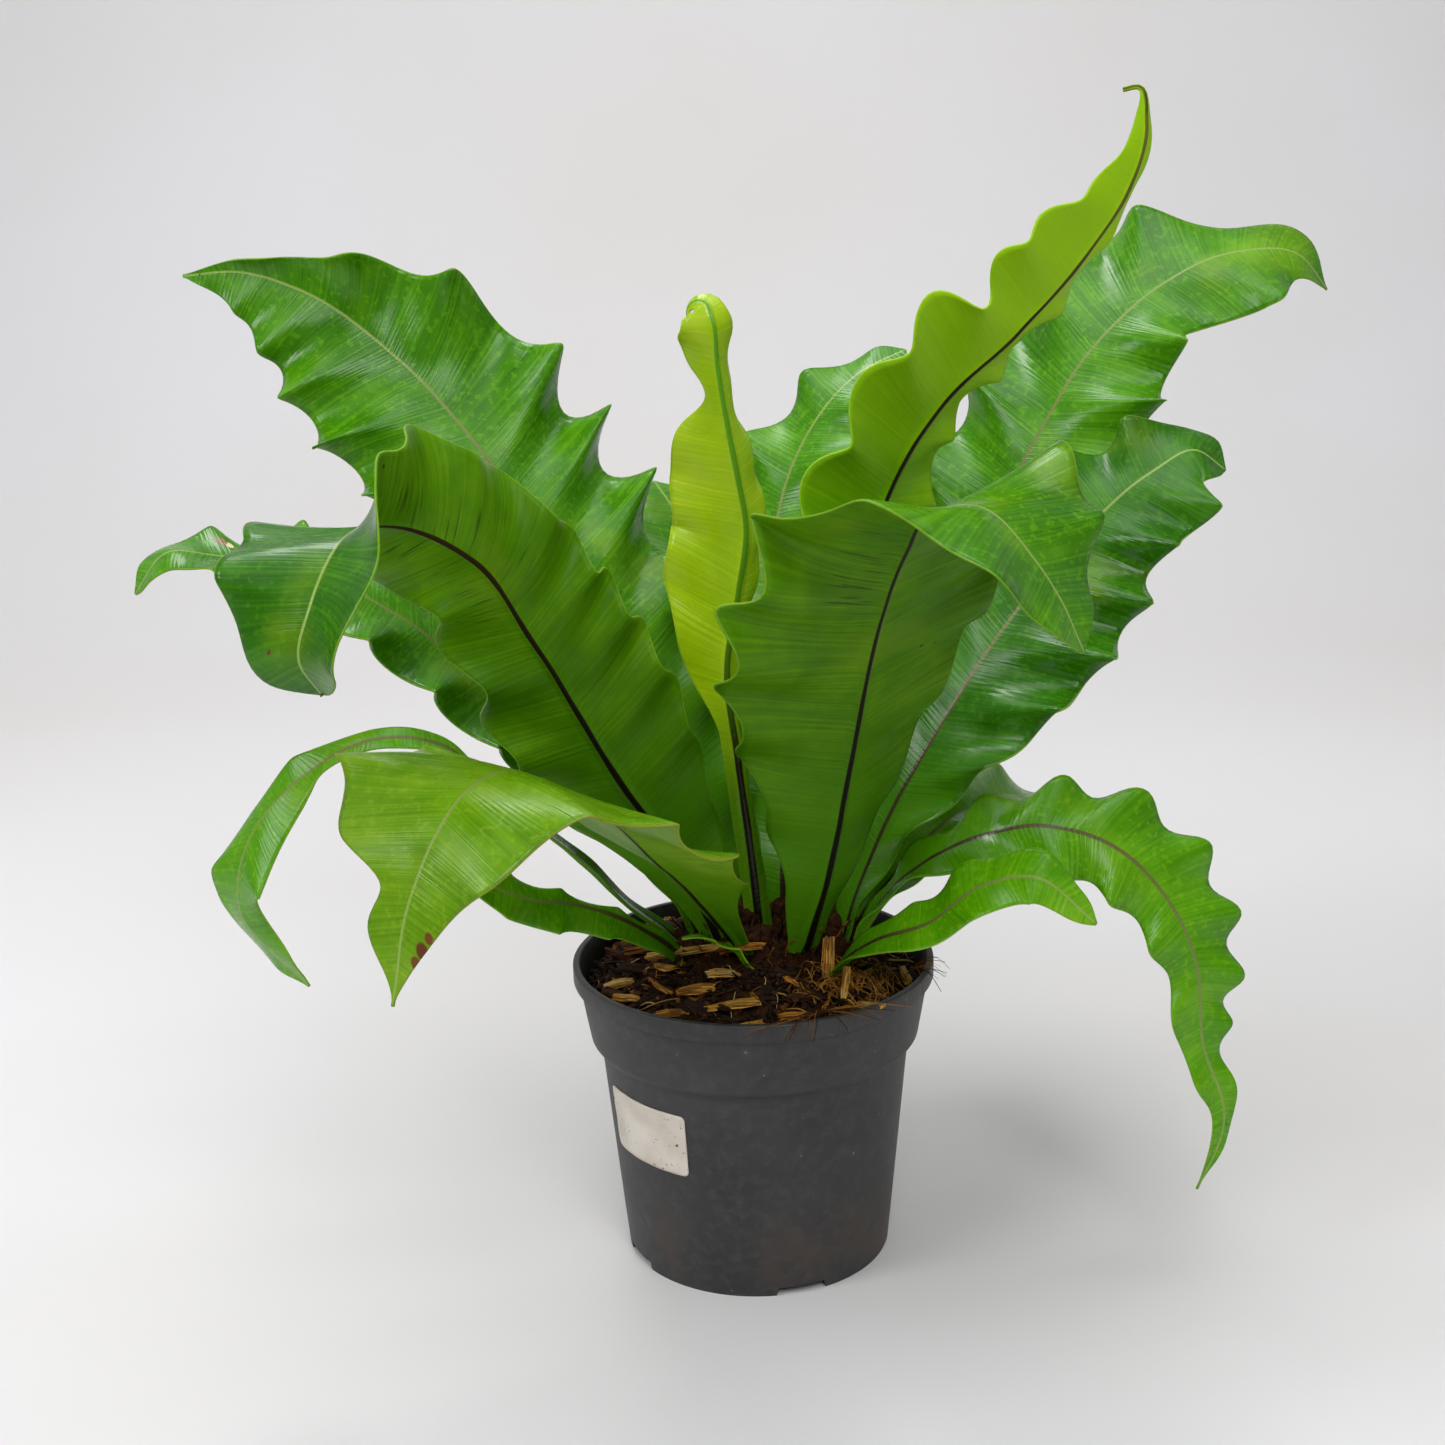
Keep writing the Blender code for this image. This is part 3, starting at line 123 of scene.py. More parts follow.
# Fronds. Each route runs from where the stalk leaves the crown to the tip, in millimetres, points as
# x, y, z. faces is the direction that the upper face looks in at the root, in degrees from +X to +Y.
# width is the blade at its widest, which it is at widest, as a share of the length. Below stalk it
# is as narrow as the stalk. tip is 0.5 for a round tip and 1 or more for a pointed one. twist lists
# how far the blade is turned on its rib, as share of the length and degrees. curl lists how far the
# left and the right half bend up, as share, degrees left, degrees right. halves lists how wide the
# left and the right half are, as shares of half the width. wave is the height of the margin's waves,
# with the crests of the left and the right margin as shares of the length. sharp is how pointed the
# crests are, where that isn't SHARP; below 0 the crests are round and the hollows pointed.
FRONDS = {
    "frond_back_left": {
        "route": [(-11, 14, 152), (-21, 28, 213), (-51, 50, 277), (-117, 85, 362),
                  (-166, 110, 415), (-215, 120, 450), (-243, 120, 459), (-271, 118, 458)],
        "faces": -40, "stalk": 0.0, "root": 12, "width": 115, "widest": 0.55, "tip": 1.0,
        "twist": [(0.0, 0), (0.3, 10), (0.6, 25), (0.75, 35), (0.88, 45), (1.0, 45)],
        "curl": [(0.0, 20, 20), (0.15, 20, 20), (0.3, 10, 15), (0.6, 0, 8), (0.8, 0, 40), (0.9, 0, 60),
                 (1.0, 0, 40)],
        "halves": [(0.0, 1.0, 1.0), (0.6, 1.0, 1.0), (0.75, 1.2, 1.0), (0.82, 1.25, 0.85),
                   (0.92, 1.3, 0.45), (1.0, 1.2, 0.45)],
        "wave": 11, "left": [0.27, 0.37, 0.47, 0.57, 0.67, 0.77, 0.86, 0.93],
        "right": [0.34, 0.43, 0.51, 0.59, 0.71, 0.82, 0.92],
    },
    "frond_left": {
        "route": [(-25, 2, 151), (-48, 1, 197), (-83, -4, 242), (-117, -14, 282), (-156, -26, 320),
                  (-192, -36, 341), (-227, -44, 350), (-246, -50, 353), (-260, -54, 336)],
        "faces": 0, "stalk": 0.0, "root": 12, "width": 62, "widest": 0.55, "tip": 0.6,
        "twist": [(0.0, 20), (0.7, 20), (0.8, 10), (0.9, 0), (1.0, 0)],
        "curl": [(0.0, 20, 20), (0.15, 20, 20), (0.3, 10, 10), (0.65, 8, 8), (0.8, 0, 0), (1.0, 0, 0)],
        "wave": 7, "left": even(8), "right": even(8),
    },
    "frond_front_left": {
        "route": [(-14, -12, 153), (-28, -26, 192), (-59, -55, 253), (-89, -88, 321), (-108, -108, 358),
                  (-131, -126, 375), (-145, -146, 379), (-152, -166, 374), (-159, -182, 357),
                  (-164, -186, 337), (-158, -178, 322)],
        "faces": 75, "stalk": 0.0, "root": 13, "width": 116, "widest": 0.6, "tip": 0.6,
        "twist": [(0.0, 0), (0.72, 0), (0.78, 20), (0.84, 40), (0.9, 45), (1.0, 40)],
        "curl": [(0.0, 20, 20), (0.15, 20, 20), (0.4, 15, 5), (0.58, 30, 0), (0.68, 75, 0), (0.78, 85, 0),
                 (0.88, 65, 0), (1.0, 40, 0)],
        "halves": [(0.0, 1.0, 1.0), (0.35, 1.0, 0.85), (0.48, 0.8, 0.6), (0.62, 0.66, 0.52),
                   (0.75, 0.72, 0.7), (0.85, 0.8, 0.9), (1.0, 1.0, 0.95)],
        "sharp": -0.1, "wave": 6, "left": [0.24, 0.32, 0.4, 0.47, 0.54, 0.61, 0.69, 0.78, 0.9],
        "right": even(8),
    },
    "frond_low_front_left": {
        "route": [(-4, -23, 150), (-23, -48, 191), (-41, -82, 223), (-58, -111, 251), (-78, -141, 275),
                  (-95, -165, 287), (-108, -185, 283), (-118, -197, 269), (-126, -205, 250),
                  (-134, -212, 211)],
        "faces": 50, "stalk": 0.06, "root": 13, "width": 122, "widest": 0.55, "tip": 1.4,
        "curl": [(0.0, 20, 20), (0.15, 20, 20), (0.3, 15, 15), (0.45, 0, 0), (1.0, 0, 0)],
        "halves": [(0.0, 1.0, 1.0), (0.5, 1.0, 1.0), (0.66, 1.0, 1.15), (0.78, 1.0, 1.35), (0.84, 1.0, 1.3),
                   (0.88, 1.0, 0.7), (0.93, 1.0, 1.4), (1.0, 1.0, 1.0)],
        "wave": 4, "left": even(6), "right": even(6),
    },
    "frond_trailing_left": {
        "route": [(-36, 4, 151), (-57, -2, 172), (-77, -14, 198), (-111, -40, 239), (-134, -52, 266),
                  (-160, -62, 272), (-189, -72, 260), (-212, -80, 237), (-220, -84, 205),
                  (-192, -86, 168)],
        "faces": 0, "stalk": 0.5, "root": 8, "width": 31, "widest": 0.8, "tip": 0.8,
        "twist": [(0.0, 0), (0.4, 0), (0.55, 20), (0.7, 10), (0.8, 0), (1.0, 0)],
        "halves": [(0.0, 1.0, 1.0), (0.55, 1.0, 1.0), (0.66, 0.4, 0.7), (0.76, 1.2, 0.9), (0.83, 1.3, 1.1),
                   (1.0, 1.0, 1.0)],
        "curl": [(0.0, 20, 20), (0.3, 20, 20), (0.5, 0, 0), (1.0, 0, 0)],
        "wave": 3, "left": even(6), "right": even(6),
    },
    "frond_small_left": {
        "route": [(-30, -20, 148), (-51, -34, 172), (-76, -52, 190), (-96, -70, 200), (-112, -84, 212),
                  (-125, -94, 226)],
        "faces": 0, "stalk": 0.0, "root": 9, "width": 21, "widest": 0.68, "tip": 0.8,
        "twist": [(0.0, 20), (1.0, 20)],
        "curl": [(0.0, 20, 20), (0.25, 20, 20), (0.5, 0, 0), (1.0, 0, 0)],
        "halves": [(0.0, 1.0, 0.8), (0.6, 1.3, 0.5), (0.85, 1.1, 1.2), (1.0, 1.0, 1.2)],
        "wave": 1.5, "left": even(5), "right": even(5),
    },
    "frond_shoot": {
        "route": [(-1, -34, 149), (-8, -38, 162), (-17, -44, 169), (-24, -52, 175), (-31, -58, 176)],
        "faces": 30, "stalk": 0.0, "root": 8, "width": 9, "widest": 0.3, "tip": 0.7,
        "curl": [(0.0, 10, 10), (0.3, 20, 20), (0.6, 0, 0), (1.0, 0, 0)],
        "wave": 1, "left": even(4), "right": even(4),
    },
    "frond_young_centre": {
        "route": [(3, 4, 161), (0, 4, 195), (-5, 2, 240), (-9, 0, 286), (-3, 0, 320), (1, 0, 348),
                  (-2, 0, 370), (-6, 0, 393), (-10, 0, 421), (-12, 0, 442), (-15, 4, 448), (-19, 6, 448),
                  (-22, 7, 444), (-21, 5, 440)],
        "faces": 90, "stalk": 0.33, "root": 13, "width": 74, "widest": 0.6, "tip": 1.5,
        "curl": [(0.0, 10, 10), (0.35, 40, 10), (0.5, 80, 14), (0.6, 90, 25), (0.72, 90, 35),
                 (0.8, 100, 40), (0.88, 80, 30), (0.94, 40, 0), (1.0, 0, 0)],
        "halves": [(0.0, 1.0, 1.0), (0.45, 0.35, 1.0), (0.55, 0.38, 1.0), (0.64, 0.45, 0.95),
                   (0.72, 0.5, 0.98), (0.78, 0.45, 0.9), (0.825, 0.4, 0.35), (0.88, 0.6, 1.0),
                   (0.94, 1.3, 2.0), (1.0, 1.5, 1.5)],
        "sharp": 0.2, "wave": 1.5, "left": even(9), "right": even(9),
    },
    "frond_back_centre": {
        "route": [(15, 20, 162), (16, 42, 213), (13, 75, 274), (19, 106, 343), (37, 126, 379),
                  (60, 140, 401), (84, 148, 411)],
        "faces": -120, "stalk": 0.0, "root": 12, "width": 88, "widest": 0.68, "tip": 0.7,
        "curl": [(0.0, 20, 20), (0.4, 20, 20), (0.65, 10, 0), (0.8, 0, 0), (1.0, 0, 0)],
        "halves": [(0.0, 1.0, 1.0), (0.5, 1.0, 1.0), (0.7, 0.7, 1.0), (1.0, 0.6, 1.0)],
        "sharp": 0.5, "wave": 6, "left": even(7), "right": even(7),
    },
    "frond_young_right": {
        "route": [(28, -10, 158), (39, -22, 227), (49, -35, 313), (62, -45, 372), (85, -55, 411),
                  (113, -62, 438), (137, -68, 466), (155, -72, 494), (161, -74, 520), (158, -74, 533),
                  (152, -74, 532)],
        "faces": 110, "stalk": 0.0, "root": 12, "width": 82, "widest": 0.58, "tip": 1.5,
        "curl": [(0.0, 20, 20), (0.15, 20, 20), (0.35, 10, 10), (0.5, 20, 0), (0.65, 45, 0), (0.85, 45, 0),
                 (0.93, 40, 20), (1.0, 40, 40)],
        "halves": [(0.0, 1.0, 1.0), (0.45, 1.0, 1.0), (0.58, 0.5, 0.8), (0.66, 0.45, 0.9),
                   (0.72, 0.4, 0.95), (0.745, 0.4, 0.6), (0.77, 0.4, 0.95), (0.9, 0.4, 1.0),
                   (1.0, 1.0, 1.0)],
        "sharp": -0.5, "wave": 5, "left": even(10),
        "right": [0.22, 0.31, 0.4, 0.49, 0.58, 0.66, 0.74, 0.81, 0.88, 0.95],
    },
    "frond_front_right": {
        "route": [(23, -22, 151), (33, -38, 195), (44, -65, 263), (54, -100, 328), (63, -125, 362),
                  (70, -145, 379), (89, -165, 384), (106, -178, 367), (117, -182, 349),
                  (124, -184, 333)],
        "faces": 120, "stalk": 0.0, "root": 13, "width": 126, "widest": 0.7, "tip": 0.8,
        "curl": [(0.0, 20, 20), (0.15, 20, 20), (0.35, 15, 15), (0.62, 5, 10), (0.71, 10, 36), (0.8, 20, 0),
                 (0.85, 30, 0), (0.95, 10, 0), (1.0, 0, 0)],
        "halves": [(0.0, 1.0, 1.0), (0.3, 1.0, 1.15), (0.5, 1.0, 1.2), (0.6, 1.0, 1.15),
                   (0.65, 1.0, 0.95), (0.71, 1.0, 0.95), (0.77, 0.95, 0.8), (0.84, 0.9, 0.75),
                   (1.0, 0.85, 0.75)],
        "sharp": 0.4, "wave": 6, "left": even(8), "right": [0.2, 0.31, 0.42, 0.52, 0.61, 0.74, 0.86, 0.97],
    },
    "frond_back_right": {
        "route": [(36, 18, 150), (62, 42, 206), (90, 70, 263), (147, 108, 374), (173, 122, 411),
                  (209, 134, 441), (247, 141, 456), (280, 144, 453), (294, 144, 436)],
        "faces": -150, "stalk": 0.0, "root": 12, "width": 112, "widest": 0.66, "tip": 1.0,
        "twist": [(0.0, 0), (0.3, -20), (0.6, -25), (1.0, -25)],
        "curl": [(0.0, 20, 20), (0.3, 20, 20), (0.6, 0, 0), (1.0, 0, 0)],
        "halves": [(0.0, 1.0, 1.0), (0.55, 1.0, 0.85), (0.7, 1.0, 0.85), (0.77, 1.25, 0.65),
                   (0.87, 0.8, 1.15), (0.95, 1.0, 1.4), (1.0, 1.0, 1.0)],
        "sharp": 0.6, "wave": 10, "left": [0.25, 0.36, 0.47, 0.58, 0.69, 0.79, 0.96],
        "right": [0.22, 0.32, 0.42, 0.52, 0.62, 0.72, 0.88, 0.98],
    },
    "frond_right": {
        "route": [(42, -4, 151), (63, 4, 206), (85, 12, 244), (130, 30, 306), (162, 42, 339),
                  (191, 52, 361), (213, 58, 370), (228, 60, 360)],
        "faces": -170, "stalk": 0.0, "root": 12, "width": 115, "widest": 0.6, "tip": 0.65,
        "twist": [(0.0, 0), (0.2, -20), (0.35, -35), (0.6, -45), (1.0, -45)],
        "curl": [(0.0, 20, 20), (0.35, 20, 20), (0.6, 0, 0), (1.0, 0, 0)],
        "halves": [(0.0, 1.0, 1.0), (0.5, 1.0, 0.95), (0.7, 0.8, 0.85), (0.8, 0.75, 0.75),
                   (0.88, 0.75, 1.0), (1.0, 0.9, 0.9)],
        "sharp": 0.45, "wave": 9, "left": even(8), "right": even(8),
    },
    "frond_trailing_right": {
        "route": [(44, -21, 147), (66, -31, 190), (94, -39, 211), (129, -44, 220), (159, -48, 212),
                  (183, -52, 189), (197, -55, 159), (201, -57, 121), (212, -58, 82), (201, -58, 48)],
        "faces": 160, "stalk": 0.0, "root": 10, "width": 48, "widest": 0.5, "tip": 1.3,
        "twist": [(0.0, 0), (0.15, -10), (0.3, -30), (0.45, -50), (0.65, -65), (1.0, -65)],
        "curl": [(0.0, 20, 20), (0.15, 20, 20), (0.35, 0, 0), (1.0, 0, 0)],
        "halves": [(0.0, 1.0, 1.0), (0.4, 1.0, 1.0), (0.55, 1.25, 0.85), (0.7, 1.0, 0.75), (0.8, 0.7, 0.75),
                   (1.0, 0.9, 1.0)],
        "sharp": 0.1, "wave": 4.5, "left": [0.2, 0.3, 0.38, 0.45, 0.53, 0.61, 0.68, 0.75, 0.85, 0.95],
        "right": [0.2, 0.3, 0.4, 0.5, 0.61, 0.73, 0.83, 0.93],
    },
    "frond_low_back_right": {
        "route": [(47, 12, 149), (67, 24, 172), (87, 42, 188), (124, 66, 200), (157, 85, 187)],
        "faces": -150, "stalk": 0.0, "root": 10, "width": 64, "widest": 0.6, "tip": 0.75,
        "twist": [(0.0, 0), (0.25, -10), (0.45, -20), (1.0, -20)],
        "curl": [(0.0, 20, 20), (0.25, 20, 20), (0.5, 10, 10), (0.8, 0, 0), (1.0, 0, 0)],
        "halves": [(0.0, 1.0, 1.0), (0.3, 1.0, 0.7), (0.6, 1.0, 0.6), (1.0, 1.0, 0.8)],
        "wave": 5, "left": even(5), "right": even(5),
    },
    "frond_small_right": {
        "route": [(35, -33, 147), (54, -51, 170), (78, -68, 185), (99, -76, 204), (120, -82, 210),
                  (147, -88, 190)],
        "faces": 150, "stalk": 0.0, "root": 10, "width": 28, "widest": 0.68, "tip": 0.75,
        "twist": [(0.0, 0), (0.2, -10), (0.4, -30), (0.6, -40), (1.0, -40)],
        "curl": [(0.0, 20, 20), (0.2, 20, 20), (0.4, 10, 10), (0.6, 0, 0), (1.0, 0, 0)],
        "sharp": 0.3, "wave": 1.5, "left": even(5), "right": even(5),
    },
    "frond_back": {
        "route": [(-2, 32, 157), (-10, 62, 202), (-18, 105, 252), (-26, 150, 294), (-37, 186, 325),
                  (-48, 212, 337)],
        "faces": -70, "stalk": 0.0, "root": 12, "width": 75, "widest": 0.68, "tip": 0.9,
        "curl": [(0.0, 20, 20), (0.2, 20, 20), (0.45, 10, 10), (0.7, 0, 0), (1.0, 0, 0)],
        "wave": 6, "left": even(6), "right": even(6),
    },
    "frond_low_back": {
        "route": [(23, 34, 155), (34, 66, 187), (52, 108, 221), (66, 156, 245), (80, 198, 254),
                  (90, 230, 241)],
        "faces": -90, "stalk": 0.0, "root": 12, "width": 86, "widest": 0.62, "tip": 1.2,
        "curl": [(0.0, 20, 20), (0.2, 20, 20), (0.45, 10, 10), (0.7, 0, 0), (1.0, 0, 0)],
        "wave": 6, "left": even(6), "right": even(6),
    },
}

ROOT_DEPTH = 14.0     # how deep a stalk stands in the crown
SPINE_STEPS = 240     # places along a frond's rib at which its frame is worked out
RIB_SHARE = 0.35      # share of a half's bend that is already there beside the rib
SWEEP = 0.45          # how far the waves lean towards the tip, as a share of the half width
SHARP = 0.75          # how pointed the crests of most margins are, 0 even, 1 a cusp
WAVE_REACH = 1.4      # how quickly the waves grow from the rib to the margin
WAVE_OUT = 0.7        # how far a wave's crest also stands out sideways, as a share of its height
WAVE_FADE = 1.3       # how quickly the waves die out where the blade narrows
BEND_STEPS = 24       # steps over which a half's bend is added up
LEAST_WIDTH = 1.2     # the blade is never narrower, in millimetres
ROOT_SPREAD = 0.85    # how quickly the blade spreads above the stalk
ROUND_WIDTH = 2.2     # how long the blade stays near its full width before the tip
MORE_CRESTS = 30      # waves worked out beyond the first and the last crest
EVEN_HALVES = [(0.0, 1.0, 1.0), (1.0, 1.0, 1.0)]
NO_TWIST = [(0.0, 0), (1.0, 0)]


def smooth(knots, values, at):
    """Values at the given places on a smooth curve through the given values."""
    knots = np.array(knots, float)
    values = np.array(values, float)
    slopes = np.gradient(values, knots, axis=0)
    i = np.clip(np.searchsorted(knots, at, side="right") - 1, 0, len(knots) - 2)
    h = (knots[i + 1] - knots[i])[:, None]
    f = (at - knots[i])[:, None] / h
    return ((1 + 2 * f) * (1 - f) ** 2 * values[i] + f * (1 - f) ** 2 * h * slopes[i]
            + f * f * (3 - 2 * f) * values[i + 1] + f * f * (f - 1) * h * slopes[i + 1])


def run_lengths(points):
    """Length along a row of points up to each of them."""
    steps = np.linalg.norm(np.diff(points, axis=0), axis=1)
    return np.concatenate([[0.0], np.cumsum(steps)])


def rib_line(frond):
    """Points evenly spaced along the rib, with the buried root end, and the rib's length."""
    route = np.array(frond["route"], float)
    leave = route[1] - route[0]
    leave = 0.6 * leave / np.linalg.norm(leave) + np.array([0.0, 0.0, 0.4])
    root = route[0] - ROOT_DEPTH * leave / np.linalg.norm(leave)
    route = np.vstack([root, route])
    knots = run_lengths(route)
    curve = smooth(knots, route, np.linspace(0.0, knots[-1], 3 * SPINE_STEPS))
    run = run_lengths(curve)
    at = np.linspace(0.0, run[-1], SPINE_STEPS + 1)
    return np.stack([np.interp(at, run, curve[:, k]) for k in range(3)], 1), run[-1]


def rib_frames(places, faces):
    """Unit tangent, side and upper normal at each place, the normal carried along without turning."""
    tangents = np.gradient(places, axis=0)
    tangents /= np.linalg.norm(tangents, axis=1)[:, None]
    normal = np.array([math.cos(faces), math.sin(faces), 0.0])
    normals = []
    for tangent in tangents:
        normal = normal - (normal @ tangent) * tangent
        normal /= np.linalg.norm(normal)
        normals.append(normal)
    normals = np.array(normals)
    return tangents, np.cross(tangents, normals), normals


def half_width(frond, share):
    """Half the blade's width at shares of the frond's length."""
    low = np.clip((share - frond["stalk"]) / (frond["widest"] - frond["stalk"]), 0.0, 1.0) ** ROOT_SPREAD
    high = np.clip((share - frond["widest"]) / (1.0 - frond["widest"]), 0.0, 1.0)
    rise = low * low * (3 - 2 * low)
    fall = (1.0 - high ** ROUND_WIDTH) ** frond["tip"]
    width = (frond["root"] + (frond["width"] - frond["root"]) * rise) * fall
    return np.maximum(width, LEAST_WIDTH) / 2


def crest_phase(crests, at):
    """Wave number along the margin: whole at each crest."""
    crests = np.array(crests, float)
    before = crests[0] - (crests[1] - crests[0]) * np.arange(MORE_CRESTS, 0, -1)
    after = crests[-1] + (crests[-1] - crests[-2]) * np.arange(1, MORE_CRESTS + 1)
    numbers = np.arange(-MORE_CRESTS, len(crests) + MORE_CRESTS)
    return np.interp(at, np.concatenate([before, crests, after]), numbers)


def blade_points(frond, along, columns):
    """Rows of points on the blade from root to tip, at shares across it from -1, left, to 1, right."""
    spine, length = rib_line(frond)
    tangents, sides, normals = rib_frames(spine, math.radians(frond["faces"]))
    share = np.linspace(0.0, 1.0, SPINE_STEPS + 1)
    full = half_width(frond, share)
    halves = frond.get("halves", EVEN_HALVES)
    parts = smooth([row[0] for row in halves], [row[1:] for row in halves], share)
    twists = frond.get("twist", NO_TWIST)
    twist_at = [place for place, turn in twists]
    turns = [[turn] for place, turn in twists]
    twist = np.radians(smooth(twist_at, turns, share))
    curl_at = [row[0] for row in frond["curl"]]
    curls = np.radians(smooth(curl_at, [row[1:] for row in frond["curl"]], share))
    side = np.cos(twist) * sides + np.sin(twist) * normals
    up = np.cos(twist) * normals - np.sin(twist) * sides
    fade = np.clip(full / full.max(), 0.0, 1.0) ** WAVE_FADE
    sharp = frond.get("sharp", SHARP)
    steps = (np.arange(BEND_STEPS) + 0.5) / BEND_STEPS
    grid = np.zeros((along + 1, len(columns), 3))
    rows = np.linspace(0, SPINE_STEPS, along + 1)
    for j, across_share in enumerate(columns):
        out = abs(across_share)
        sign = math.copysign(1.0, across_share)
        crests = frond["left" if across_share < 0 else "right"]
        bend = curls[:, :1] if across_share < 0 else curls[:, 1:]
        half = full * (parts[:, 0] if across_share < 0 else parts[:, 1])
        lean = bend * (RIB_SHARE + (1 - RIB_SHARE) * out * steps)
        phase = crest_phase(crests, share - SWEEP * out * half / length)
        wave_length = length / np.maximum(np.gradient(phase, share), 1e-6)
        reach = fade * out ** WAVE_REACH
        lift = frond["wave"] * reach * np.cos(2 * math.pi * phase)
        slide = -sharp * wave_length / (2 * math.pi) * reach * np.sin(2 * math.pi * phase)
        edge = lean[:, -1]
        over = out * np.cos(lean).mean(1) * half + lift * (WAVE_OUT * np.cos(edge) - np.sin(edge))
        rise = out * np.sin(lean).mean(1) * half + lift * (WAVE_OUT * np.sin(edge) + np.cos(edge))
        line = spine + (sign * over)[:, None] * side + rise[:, None] * up + slide[:, None] * tangents
        for k in range(3):
            grid[:, j, k] = np.interp(rows, np.arange(SPINE_STEPS + 1), line[:, k])
    return grid


def rgb(code):
    """Linear red, green and blue of an sRGB hex colour."""
    parts = [int(code[i:i + 2], 16) / 255 for i in (1, 3, 5)]
    return tuple(c / 12.92 if c <= 0.04045 else ((c + 0.055) / 1.055) ** 2.4 for c in parts)


def rgba(colour):
    """A node colour from a hex code or from a linear colour."""
    return (*(rgb(colour) if isinstance(colour, str) else colour), 1.0)


def node(tree, kind, inputs=None, out=0, stops=None, **settings):
    """Add a shader node with its settings, set or link its inputs, and give the wanted output."""
    made = tree.nodes.new("ShaderNode" + kind)
    for name, value in settings.items():
        setattr(made, name, value)
    for socket, source in (inputs or {}).items():
        if isinstance(source, bpy.types.NodeSocket):
            tree.links.new(source, made.inputs[socket])
        else:
            made.inputs[socket].default_value = source
    if stops:
        ramp = made.color_ramp
        while len(ramp.elements) < len(stops):
            ramp.elements.new(0.5)
        for element, (place, colour) in zip(ramp.elements, stops):
            element.position = place
            element.color = rgba(colour)
    if isinstance(out, tuple):
        return [made.outputs[each] for each in out]
    return made.outputs[out] if made.outputs else None


def new_material(name):
    """An empty node material, and the function that adds a node to it."""
    made = bpy.data.materials.new(name)
    made.use_nodes = True
    made.node_tree.nodes.clear()
    return made, partial(node, made.node_tree)


SOFT = {"interpolation_type": "SMOOTHSTEP"}    # a range that starts and ends gently
BLEND = {"out": 2, "data_type": "RGBA"}        # a mix of two colours


# Tones of the upper face, deep, middle and light, then the same of the underside, then the margin.
LEAF_TONES = {
    "mature": ("#1c4f01", "#3d7b02", "#69a814", "#2f6001", "#4c7f01", "#6da00c", "#86ac34"),
    # deep: the mature tones with a darker upper face, painted shade for the fronds that take it
    "deep": ("#123e01", "#2a6402", "#4c8a10", "#2f6001", "#4c7f01", "#6da00c", "#86ac34"),
    "bright": ("#2f6a02", "#529402", "#7eb41c", "#447a02", "#5f9402", "#86ac14", "#98bb38"),
    "fresh": ("#3f8a02", "#5fa804", "#88c020", "#4a8602", "#669e03", "#86b61c", "#9cc83c"),
    # young: a young frond is paler and yellower, and these tones are lightened further as painted glow of
    # light shining through it from behind
    "young": ("#4ea002", "#72b803", "#a0d01c", "#7ca402", "#98b806", "#b4ca20", "#b8d040"),
    "old": ("#396402", "#5f8e06", "#84a424", "#467002", "#649004", "#86a01c", "#9c943c"),
}
RIB_TOP = [(0.0, "#1c130a"), (0.3, "#3b2f18"), (0.5, "#626432"), (0.95, "#86a44c")]
RIB_BELOW = [(0.0, "#120b06"), (0.45, "#180f07"), (0.75, "#2e1d0c"), (0.97, "#6c6c28")]
RIB_YOUNG = [(0.0, "#120b06"), (0.28, "#1c1206"), (0.5, "#4f7c06"), (1.0, "#5c9a10")]

# Small scars: place across in millimetres, place along as a share of the length, size in millimetres
# and colour.
SCARS = {
    "frond_left": [(9.0, 0.86, 3.6, "#d8c4a4"), (11.0, 0.87, 5.0, "#7a5b34")],
    "frond_front_left": [(12.0, 0.95, 1.6, "#5a3a1c"), (-30.0, 0.8, 2.2, "#4a3018")],
    "frond_front_right": [(-26.0, 0.5, 1.8, "#4a2a14"), (-33.0, 0.5, 1.6, "#4a2a14")],
    "frond_low_front_left": [(-10.5, 0.93, 6.0, "#5c3416"), (-8.5, 0.945, 5.0, "#6b3f1c"),
                             (-12.5, 0.915, 4.0, "#6b3f1c")],
}


